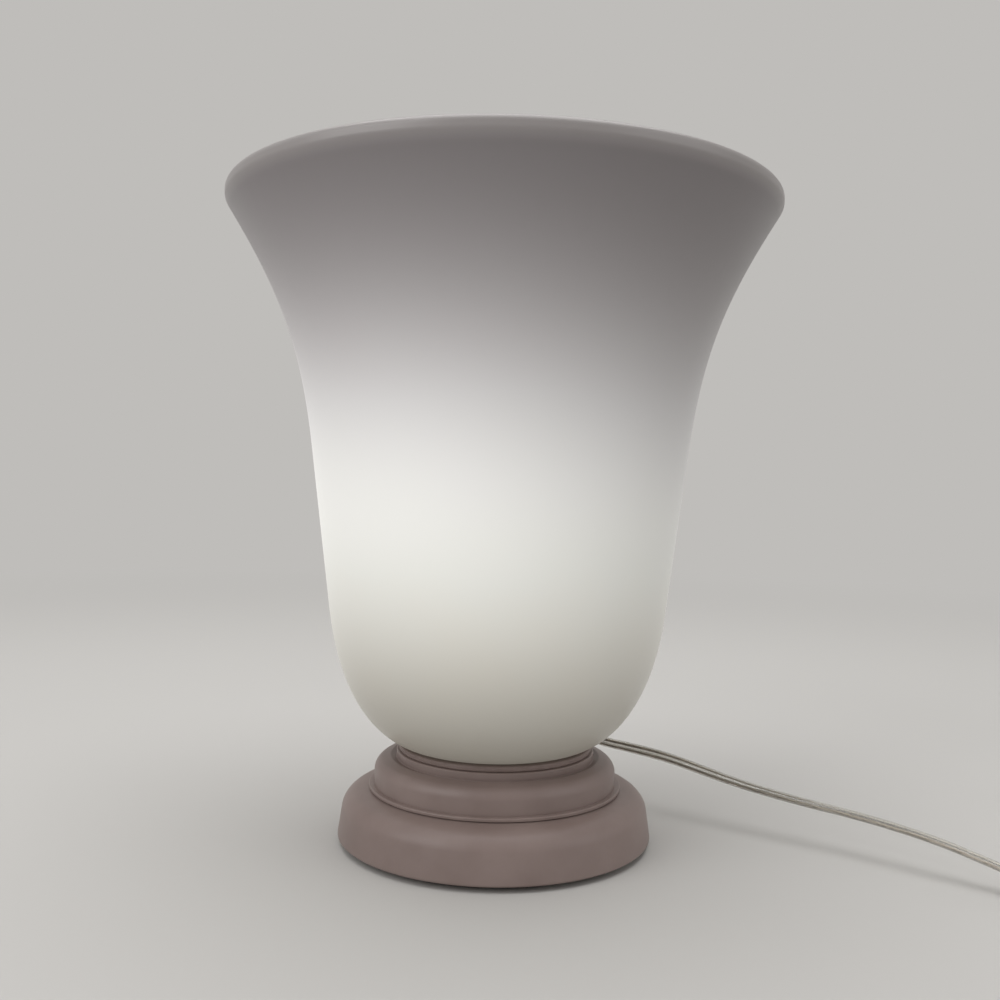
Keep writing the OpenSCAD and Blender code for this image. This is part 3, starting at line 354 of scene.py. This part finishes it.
# Polycarbonate diffuser, blown and frosted, lit from within: a soft even white
diffuser, tree, shader, place = surface("frosted_lit_polycarbonate")
frost = add(tree, "ShaderNodeTexNoise", {"Vector": place, "Scale": per_mm(12), "Detail": 2.0})
add(tree, "ShaderNodeValToRGB", {"Fac": frost.outputs["Fac"]},
    stops=[(0.3, "#7f7c76"), (0.7, "#83807a")], to=shader.inputs["Base Color"])
add(tree, "ShaderNodeValToRGB", {"Fac": frost.outputs["Fac"]},
    stops=[(0.3, "#faf5ea"), (0.7, "#fff9ef")], to=shader.inputs["Emission Color"])
shader.inputs["Emission Strength"].default_value = 0.58
shader.inputs["Roughness"].default_value = 0.5

# Thermal plastic of the bulb's housing, moulded: white, satin
thermal, tree, shader, place = surface("moulded_thermal_plastic")
skin = add(tree, "ShaderNodeTexNoise", {"Vector": place, "Scale": per_mm(8), "Detail": 3.0})
add(tree, "ShaderNodeValToRGB", {"Fac": skin.outputs["Fac"]},
    stops=[(0.3, "#d6d4ce"), (0.7, "#e0ded9")], to=shader.inputs["Base Color"])
shader.inputs["Roughness"].default_value = 0.45

# Nylon of the key, the sleeves and the cap's insulator, moulded: black with a slight shine
black_nylon, tree, shader, place = surface("moulded_black_nylon")
grain = add(tree, "ShaderNodeTexNoise", {"Vector": place, "Scale": per_mm(1), "Detail": 3.0})
add(tree, "ShaderNodeValToRGB", {"Fac": grain.outputs["Fac"]},
    stops=[(0.3, "#18191a"), (0.7, "#232426")], to=shader.inputs["Base Color"])
shader.inputs["Roughness"].default_value = 0.42

# Angles that count as a crease when shading and as an edge to round, and distances in metres at
# which points are one and faces are empty
CREASE = math.radians(38)
EDGE = math.radians(32)
SAME = 1e-6
EMPTY = 2e-6


# Making of the pieces
def piece(name, bm, materials, slot, *nodes, body="lamp"):
    """Finish a bmesh as an object with smooth faces and sharp creases, that rides on a body."""
    for face in bm.faces:
        face.smooth = True
    for edge in bm.edges:
        edge.smooth = not (len(edge.link_faces) == 2 and edge.calc_face_angle() > CREASE)
    mesh = meshed(name, bm)
    for material in materials:
        mesh.materials.append(material)
    obj = placed(name, mesh)
    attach(obj, body)
    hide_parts(*nodes)
    return obj


def spun(line, closed=False, steps=144):
    """A bmesh turned about the lamp's axis from (radius, height, corner radius) in millimetres."""
    bm = bmesh.new()
    verts = [bm.verts.new((r * MM, 0, z * MM)) for r, z, _ in line]
    for a, b in zip(verts, verts[1:]):
        bm.edges.new((a, b))
    if closed:
        bm.edges.new((verts[-1], verts[0]))
    for vert, (_, _, radius) in list(zip(verts, line)):
        if radius:
            a, b = [(edge.other_vert(vert).co - vert.co).normalized() for edge in vert.link_edges]
            reach = radius * MM / math.tan(a.angle(b) / 2)
            bmesh.ops.bevel(bm, geom=[vert], offset=reach, offset_type="OFFSET",
                            affect="VERTICES", segments=8, profile=0.5, material=-1)
    bmesh.ops.spin(bm, geom=bm.verts[:] + bm.edges[:], cent=(0, 0, 0), axis=(0, 0, 1),
                   dvec=(0, 0, 0), angle=2 * math.pi, steps=steps, use_merge=True)
    bmesh.ops.remove_doubles(bm, verts=bm.verts, dist=SAME)
    bmesh.ops.recalc_face_normals(bm, faces=bm.faces)
    return bm


def bend(a, b, c, d, count):
    """Points of a Bezier curve in the plane of (radius, height), all with sharp corners."""
    points = interpolate_bezier(*[Vector((x, z, 0)) for x, z in (a, b, c, d)], count)
    return [(p.x, p.y, 0) for p in points]


def arc(x, z, radius, start, end, count):
    """Points of a circle's arc in the plane of (radius, height), in degrees."""
    turns = [math.radians(start + (end - start) * i / count) for i in range(count + 1)]
    return [(x + radius * math.cos(t), z + radius * math.sin(t), 0) for t in turns]


def ridge(bm, profile, turns, pitch):
    """Add a screw thread: a closed profile of (radius, height) in millimetres on its pitch."""
    steps = 48
    verts = [bm.verts.new((r * MM, 0, z * MM)) for r, z in profile]
    edges = [bm.edges.new((verts[i - 1], verts[i])) for i in range(len(verts))]
    bm.faces.new(verts)
    wound = bmesh.ops.spin(bm, geom=edges, cent=(0, 0, 0), axis=(0, 0, 1),
                           dvec=(0, 0, pitch * MM / steps), angle=2 * math.pi * turns,
                           steps=round(steps * turns), use_merge=False)
    last = [item for item in wound["geom_last"] if isinstance(item, bmesh.types.BMEdge)]
    bmesh.ops.contextual_create(bm, geom=last)
    bmesh.ops.recalc_face_normals(bm, faces=bm.faces)


def eased(node, width):
    """A bmesh copy of a CAD node with its sharp edges rounded by a width in millimetres."""
    bm = bmesh.new()
    bm.from_mesh(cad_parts[node].data)
    bmesh.ops.remove_doubles(bm, verts=bm.verts, dist=SAME)
    bmesh.ops.dissolve_limit(bm, angle_limit=math.radians(0.5), verts=bm.verts, edges=bm.edges)
    sharp = [e for e in bm.edges if len(e.link_faces) == 2 and e.calc_face_angle() > EDGE]
    bmesh.ops.bevel(bm, geom=sharp, offset=width * MM, offset_type="OFFSET", affect="EDGES",
                    segments=2, profile=0.5, material=-1, clamp_overlap=True)
    bmesh.ops.dissolve_degenerate(bm, edges=bm.edges, dist=EMPTY)
    return bm


# Lead: one line from the bush, through the switch and the coil, to the plug, as (x, y, z, turn),
# where its first stretch has a share of the fall from the bush to the switch in place of z
EXIT_Z = 31
SWITCH_Z = 8.5
run_plan = [
    (0, 28, 0, 90), (0, 56, 0, 90), (0, 70, 0, 90), (3, 81, 0, 90), (11, 89, 0, 90),
    (22, 92, 0.02, 90), (33, 89, 0.045, 90), (42, 81, 0.065, 90), (51, 72, 0.09, 90),
    (60, 63, 0.11, 90), (70, 55.5, 0.135, 84), (80, 48, 0.165, 72), (90, 40, 0.215, 56),
    (102, 30.5, 0.315, 40), (116, 20, 0.435, 26), (130, 9, 0.515, 18), (145, -3, 0.57, 13),
    (160, -15, 0.605, 10), (175, -29, 0.65, 7), (190, -43, 0.74, 4), (204, -56, 0.885, 2),
    (212, -64, 0.97, 0), (224, -76, 1, 0),
]
run = [(x, y, EXIT_Z + (SWITCH_Z - EXIT_Z) * fall, turn) for x, y, fall, turn in run_plan]
link = [
    (256, -108, 8.5, 0), (262, -114, 8.5, 0), (271, -121, 8, 12), (282, -126.5, 7, 28),
    (294, -128.5, 6, 44), (306, -127, 5, 58), (318, -121.5, 4, 70), (328, -113, 3.8, 80),
    (336, -102, 3.7, 86), (340, -91, 3.5, 90),
]
COIL_X, COIL_Y, COIL_Z = 303, -73, 3.5
COIL_TURNS = 3.5
COIL_IN = 24.4
COIL_STEP = 3.6
COIL_LAYER = 5.8
COIL_LEAVE = 60
COIL_KNOT = 15
coil = []
middle = 360 * COIL_TURNS
whole = 2 * middle + COIL_LEAVE
count = math.ceil(whole / COIL_KNOT)
for i in range(count + 1):
    angle = whole * i / count
    radius = COIL_IN + COIL_STEP * abs(angle - middle) / 360
    rise = min(1, max(0, (angle - middle) / 180 + 0.5))
    a = math.radians(angle)
    coil.append((COIL_X + radius * math.cos(a), COIL_Y + radius * math.sin(a),
                 COIL_Z + COIL_LAYER * rise * rise * (3 - 2 * rise), 90))
PLUG_X, PLUG_Y, PLUG_Z = 302, 8, 6.85
tail = [
    (307, -30.5, 9, 76), (303.5, -24, 8.5, 60), (302, -16, 8, 40), (302, -8, 7.4, 20),
    (PLUG_X, 0, PLUG_Z, 6), (PLUG_X, PLUG_Y, PLUG_Z, 0),
]
route = run + link + coil + tail

FLEX_R = 1.3
CORE_OFF = 1.2
CORE_R = 0.42


def flex_profile(name, rings):
    """A flat curve of closed rings, each a list of (across, through) in millimetres."""
    data = bpy.data.curves.new(name, "CURVE")
    data.dimensions = "2D"
    for ring in rings:
        line = data.splines.new("POLY")
        line.points.add(len(ring) - 1)
        for point, (x, y) in zip(line.points, ring):
            point.co = (x * MM, y * MM, 0, 1)
        line.use_cyclic_u = True
    return placed(name, data)


def flex_mesh(name, rings):
    """The mesh that a profile leaves along the lead's line, and the knots of that line."""
    profile = flex_profile(name + "_profile", rings)
    data = bpy.data.curves.new(name, "CURVE")
    data.dimensions = "3D"
    data.twist_mode = "Z_UP"
    data.resolution_u = 6
    data.bevel_mode = "OBJECT"
    data.bevel_object = profile
    data.use_fill_caps = True
    line = data.splines.new("BEZIER")
    line.bezier_points.add(len(route) - 1)
    for point, (x, y, z, turn) in zip(line.bezier_points, route):
        point.co = (x * MM, y * MM, z * MM)
        point.handle_left_type = "AUTO"
        point.handle_right_type = "AUTO"
        point.tilt = math.radians(turn)
    swept = placed(name, data)
    bpy.context.view_layer.update()
    graph = bpy.context.evaluated_depsgraph_get()
    mesh = bpy.data.meshes.new_from_object(swept.evaluated_get(graph))
    knots = [(p.co.copy(), p.handle_left.copy(), p.handle_right.copy())
             for p in line.bezier_points]
    for obj in (swept, profile):
        bpy.data.objects.remove(obj)
    return mesh, knots


def circle(centre, radius, angles):
    """Points (across, through) of a circle round a core, at angles in degrees."""
    turns = [math.radians(a) for a in angles]
    return [(centre + radius * math.cos(t), radius * math.sin(t)) for t in turns]


eight = circle(CORE_OFF, FLEX_R, range(-140, 141, 28))
eight += [(-x, -y) for x, y in eight]
cores = [circle(side * CORE_OFF, CORE_R, range(0, 360, 45)) for side in (-1, 1)]
skin_mesh, knots = flex_mesh("flex_skin", [eight])
core_mesh, _ = flex_mesh("flex_cores", cores)
bm = bmesh.new()
bm.from_mesh(core_mesh)
for face in bm.faces:
    face.material_index = 1
bm.from_mesh(skin_mesh)
bmesh.ops.remove_doubles(bm, verts=bm.verts, dist=SAME)
bmesh.ops.recalc_face_normals(bm, faces=bm.faces)
lead = piece("lead", bm, [pvc, strand], "clear_pvc",
             "lead_run", "lead_link", "lead_coil", "lead_tail")
lead_line = [knots[0][0]]
for (a, _, out), (b, back, _) in zip(knots, knots[1:]):
    lead_line += interpolate_bezier(a, out, back, b, 7)[1:]

# Base: felt, plinth and upper tier, turned from their outlines
piece("felt_disc", spun([(0, 0, 0), (66, 0, 0.5), (66, 2.5, 0.5), (0, 2.5, 0)]),
      [felt], "felt", "felt_pad")
piece("turned_plinth", spun([
    (62.3, 2.5, 0), (72, 2.5, 1), (69.2, 21.9, 9), (58, 24, 0), (5.3, 24, 0), (5.3, 16, 0),
    (53, 16, 0), (53, 4.5, 0), (62.3, 4.5, 0),
], closed=True), [lacquer], "lacquered_wood", "plinth")
tier = piece("turned_tier", spun([
    (56.6, 24, 0), (58, 24.4, 0.3), (58, 25.9, 0.6), (55.5, 25.9, 0), (55.5, 36.2, 5.5),
    (48.2, 38.3, 1.2), (45.5, 37.5, 0.3), (45.5, 41.2, 0.6), (22, 41.2, 0), (22, 26, 0),
    (5.3, 26, 0), (5.3, 24, 0),
], closed=True), [lacquer], "lacquered_wood", "upper_tier")


def bore(obj, radius, start, end):
    """Cut a round hole along Y, at the lead's exit, out of a piece."""
    bm = bmesh.new()
    bmesh.ops.create_cone(bm, cap_ends=True, segments=48, radius1=radius * MM,
                          radius2=radius * MM, depth=(end - start) * MM)
    bmesh.ops.rotate(bm, verts=bm.verts, cent=(0, 0, 0),
                     matrix=Matrix.Rotation(math.pi / 2, 3, "X"))
    bmesh.ops.translate(bm, verts=bm.verts, vec=(0, (start + end) / 2 * MM, EXIT_Z * MM))
    cutter = placed("bore", meshed("bore", bm))
    cut = obj.modifiers.new("bore", "BOOLEAN")
    cut.operation = "DIFFERENCE"
    cut.solver = "EXACT"
    cut.object = cutter
    bpy.context.view_layer.update()
    graph = bpy.context.evaluated_depsgraph_get()
    made = bpy.data.meshes.new_from_object(obj.evaluated_get(graph))
    obj.modifiers.remove(cut)
    obj.data = made
    bpy.data.objects.remove(cutter)
    bm = bmesh.new()
    bm.from_mesh(made)
    bmesh.ops.dissolve_degenerate(bm, edges=bm.edges, dist=EMPTY)
    bm.to_mesh(made)
    bm.free()


BUSH_Y = 53.7
bore(tier, radius=4.05, start=18, end=60)
bore(tier, radius=5.8, start=BUSH_Y, end=70)

# Shade: one closed section, the outer line, the rolled lip and the inner line a wall inside it
WALL = 3.2
LIP_R, LIP_Z, LIP_ROUND = 121.8, 288.8, 3.2
LIP_FACE = 1.2
LIP_LEAN = math.degrees(math.atan(0.62))
LIP_EASE = 4
INSIDE = 0.3
outer = [(20.5, 43.8, 0)]
outer += bend((39.7, 43.8), (44.5, 43.8), (70.16, 52.6), (77, 105.2), 28)
outer += bend((86.4, 182.6), (92.04, 226.0), (102.2, 249.91), (124.52, 285.91), 26)
inner = []
for (r0, z0, _), (r, z, _), (r1, z1, _) in zip(outer[:1] + outer, outer, outer[1:-1]):
    way = Vector((r1 - r0, z1 - z0)).normalized() * WALL
    inner.append((r - way.y, z + way.x, 0))
lip = arc(LIP_R, LIP_Z - LIP_FACE, LIP_ROUND, -LIP_LEAN, 0, 6)[1:]
lip += arc(LIP_R, LIP_Z, LIP_ROUND, 0, 168, 18)
roll_end, wall_end = Vector(lip[-1][:2]), Vector(inner[-1][:2])
roll_way = (roll_end - Vector(lip[-2][:2])).normalized() * LIP_EASE
wall_way = (wall_end - Vector(inner[-2][:2])).normalized() * LIP_EASE
eased_in = bend(roll_end, roll_end + roll_way, wall_end + wall_way, wall_end, 10)[1:-1]
bm = spun(outer + lip + eased_in + inner[::-1], closed=True, steps=192)
# Faces that lean inward, and the bowl's floor, take the lighter inside copy of the glass: painted
# light
for face in bm.faces:
    spot = face.calc_center_median()
    inward = -face.normal.to_2d().dot(spot.to_2d().normalized())
    floor_of_bowl = face.normal.z > INSIDE and spot.z < LIP_Z * MM / 2
    face.material_index = int(inward > INSIDE or floor_of_bowl)
piece("opal_shade", bm, [opal_out, painted_lit_opal_inside], "opal_glass", "glass_shade")
piece("seat_gasket", spun([
    (29, 41.2, 0.6), (44.4, 41.2, 0.8), (44.4, 43.8, 0.8), (29, 43.8, 0.6),
], closed=True), [rubber], "tinted_rubber", "shade_gasket")

# Lamp holder and bulb, with the screw threads that hold them
bm = spun([
    (17.3, 46.5, 0), (18.9, 46.5, 0.3), (18.9, 81, 0.8), (14.2, 81, 0.6), (14.2, 78.5, 0),
    (17.3, 78.5, 0),
], closed=True, steps=96)
ridge(bm, [(18.7, 47.6), (19.45, 48.2), (19.45, 48.8), (18.7, 49.4)], turns=11, pitch=2.6)
piece("threaded_skirt", bm, [bakelite], "black_bakelite", "holder_skirt")

bm = spun([
    (0, 60.7, 0), (11.6, 60.7, 0.6), (12.3, 62.2, 0.4), (12.3, 81.7, 0), (0, 81.7, 0),
], steps=96)
ridge(bm, [(12.1, 62.4), (12.75, 63.0), (13.0, 63.9), (12.75, 64.8), (12.1, 65.4)],
      turns=4, pitch=3.6)
piece("screw_cap", bm, [nickel], "nickel", "bulb_cap", body="bulb")

GLOBE_Z, GLOBE_R, GLOBE_WALL = 132.7, 30, 1.5
GLOBE_SEAT = 120.7
flank = bend((14, 85.7), (15, 94.7), (22.5, 107.7), (27.5, GLOBE_SEAT), 14)
piece("bulb_shell", spun([(0, 81.7, 0), (14, 81.7, 0.6)] + flank + [(0, GLOBE_SEAT, 0)], steps=96),
      [thermal], "bulb_plastic", "bulb_housing", body="bulb")
HOLLOW_R = GLOBE_R - GLOBE_WALL
out_turn, in_turn = [math.degrees(math.asin((GLOBE_SEAT - GLOBE_Z) / r))
                     for r in (GLOBE_R, HOLLOW_R)]
globe = arc(0, GLOBE_Z, GLOBE_R, 90, out_turn, 22) + arc(0, GLOBE_Z, HOLLOW_R, in_turn, 90, 22)
piece("lit_globe", spun(globe, steps=96), [diffuser], "lit_diffuser", "bulb_globe", body="bulb")

# Plug: the moulding from the CAD, and the pins and sleeves turned on their own axes
plug = piece("plug_moulding", eased("plug_body", 0.4), [abs_white], "white_plastic", "plug_body")
PIN_FACE = 52
PIN_LONG = 19
PIN_GAP, TIP_GAP = 18.6, 17.5
PIN_LEAN = math.asin((PIN_GAP - TIP_GAP) / 2 / PIN_LONG)


def on_pins(line, closed):
    """A bmesh of one turned shape on each of the plug's two pins, which lean to each other."""
    both = bmesh.new()
    for side in (-1, 1):
        one = spun(line, closed, steps=48)
        place = (
            Matrix.Translation((PLUG_X * MM, PLUG_Y * MM, PLUG_Z * MM))
            @ Matrix.Rotation(math.pi / 2, 4, "Z")
            @ Matrix.Translation((PIN_FACE * MM, side * PIN_GAP / 2 * MM, 0))
            @ Matrix.Rotation(-side * PIN_LEAN, 4, "Z")
            @ Matrix.Rotation(math.pi / 2, 4, "Y")
        )
        bmesh.ops.transform(one, matrix=place, verts=one.verts)
        mesh = meshed("pin", one)
        both.from_mesh(mesh)
        bpy.data.meshes.remove(mesh)
    return both


pins = piece("pin_pair", on_pins([
    (0, -8, 0), (1.4, -8, 0), (1.4, 10, 0), (2, 10, 0.15), (2, PIN_LONG, 1.6), (0, PIN_LONG, 0),
], False), [nickel], "nickel", "plug_pins")
sleeves = piece("pin_sleeves", on_pins([
    (1.45, 0.3, 0), (1.8, 0.3, 0.1), (1.8, 9.7, 0.1), (1.45, 9.7, 0),
], True), [black_nylon], "black_plastic", "plug_sleeves")

# Moulded and pressed pieces from the CAD, with their edges eased, and the bush, turned
case_low = piece("switch_base", eased("switch_lower_case", 0.3),
                 [abs_white], "white_plastic", "switch_lower_case")
case_top = piece("switch_cover", eased("switch_upper_case", 0.3),
                 [abs_white], "white_plastic", "switch_upper_case")
key = piece("switch_key", eased("switch_rocker", 0.3),
            [black_nylon], "black_plastic", "switch_rocker", body="rocker")
tie = piece("coil_strap", eased("coil_tie", 0.15), [webbing], "black_tie", "coil_tie")
bm = spun([
    (2.8, -12, 0), (4, -12, 0.3), (4, 0, 0), (5.5, 0, 0.4), (5.5, 1.8, 0.6), (4.5, 1.8, 0.3),
    (3.8, 13.8, 0.4), (2.8, 13.8, 0.3),
], closed=True, steps=64)
bush_place = (Matrix.Translation((0, BUSH_Y * MM, EXIT_Z * MM))
              @ Matrix.Rotation(-math.pi / 2, 4, "X"))
bmesh.ops.transform(bm, matrix=bush_place, verts=bm.verts)
piece("bush_sleeve", bm, [pvc], "clear_pvc", "cord_bush")
piece("ring_nut", eased("shade_ring", 0.3), [bakelite], "black_bakelite", "shade_ring")
piece("holder_cup", eased("holder_cap", 0.3), [bakelite], "black_bakelite", "holder_cap")

# Finishes of the CAD pieces that keep their shape
for node, material in {
    "bottom_plate": hardboard, "plate_screws": brass, "ballast_disc": zinc, "tube_washer": zinc,
    "tube_nut": brass, "threaded_tube": brass, "holder_core": porcelain, "holder_shell": brass,
    "holder_contact": brass, "holder_terminals": brass, "core_tails": sheath,
    "bulb_contact": black_nylon, "switch_screws": zinc, "switch_contacts": brass,
    "switch_bridge": brass,
}.items():
    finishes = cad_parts[node].data.materials
    if len(finishes) == 0:
        finishes.append(material)
    for i in range(len(finishes)):
        finishes[i] = material

# Floor and backdrop: near the lamp the floor takes light and shadow, further off it goes over to
# the plain tone of the backdrop, which only the camera, gloss and clear pieces see
BACKDROP = "#bfbdba"
FLOOR_R = 6
FADE_FROM, FADE_TO = 0.45, 1.5


def seen(tree):
    """A socket that is 1 on rays to the camera, straight, in gloss or through clear pieces."""
    ray = add(tree, "ShaderNodeLightPath").outputs
    shown = add(tree, "ShaderNodeMath", {0: ray["Is Camera Ray"], 1: ray["Is Glossy Ray"]},
                operation="ADD")
    return add(tree, "ShaderNodeMath", {0: shown.outputs[0], 1: ray["Is Transmission Ray"]},
               operation="ADD", use_clamp=True).outputs[0]


ground, tree, shader, place = surface("pale_paper_floor")
shader.inputs["Base Color"].default_value = linear("#c9c7c4")
shader.inputs["Roughness"].default_value = 0.9
reach = add(tree, "ShaderNodeVectorMath", {"Vector": place}, operation="LENGTH")
fade = add(tree, "ShaderNodeMapRange",
           {"Value": reach.outputs["Value"], "From Min": FADE_FROM, "From Max": FADE_TO},
           interpolation_type="SMOOTHSTEP")
share = add(tree, "ShaderNodeMath", {0: seen(tree), 1: fade.outputs[0]}, operation="MULTIPLY")
plain = add(tree, "ShaderNodeEmission", {"Color": linear(BACKDROP), "Strength": 1.0})
add(tree, "ShaderNodeMixShader",
    {0: share.outputs[0], 1: shader.outputs[0], 2: plain.outputs[0]},
    to=tree.nodes["Material Output"].inputs["Surface"])
bm = bmesh.new()
bmesh.ops.create_circle(bm, cap_ends=True, segments=96, radius=FLOOR_R)
floor = placed("floor", meshed("floor", bm))
floor.data.materials.append(ground)

world = bpy.data.worlds.new("studio")
bpy.context.scene.world = world
world.use_nodes = True
tree = world.node_tree
fill = tree.nodes["Background"]
fill.inputs["Color"].default_value = linear("#e9e8e6")
fill.inputs["Strength"].default_value = 0.42
plain = add(tree, "ShaderNodeBackground", {"Color": linear(BACKDROP), "Strength": 1.0})
add(tree, "ShaderNodeMixShader", {0: seen(tree), 1: fill.outputs[0], 2: plain.outputs[0]},
    to=tree.nodes["World Output"].inputs["Surface"])


def panel(name, place, aim, width, power):
    """A square soft light that faces a point."""
    data = bpy.data.lights.new(name, "AREA")
    data.shape = "SQUARE"
    data.size = width
    data.energy = power
    way = Vector(aim) - Vector(place)
    turn = way.to_track_quat("-Z", "Y").to_matrix().to_4x4()
    placed(name, data).matrix_world = Matrix.Translation(place) @ turn


panel("top_light", place=(0.0, 0.1, 2.2), aim=(0, 0, 0.1), width=2.2, power=34)
panel("left_light", place=(-1.6, -1.2, 1.2), aim=(0, 0, 0.12), width=1.6, power=15)
panel("right_light", place=(1.8, -0.8, 0.9), aim=(0, 0, 0.12), width=1.6, power=6)

bpy.context.scene.view_settings.view_transform = "Standard"
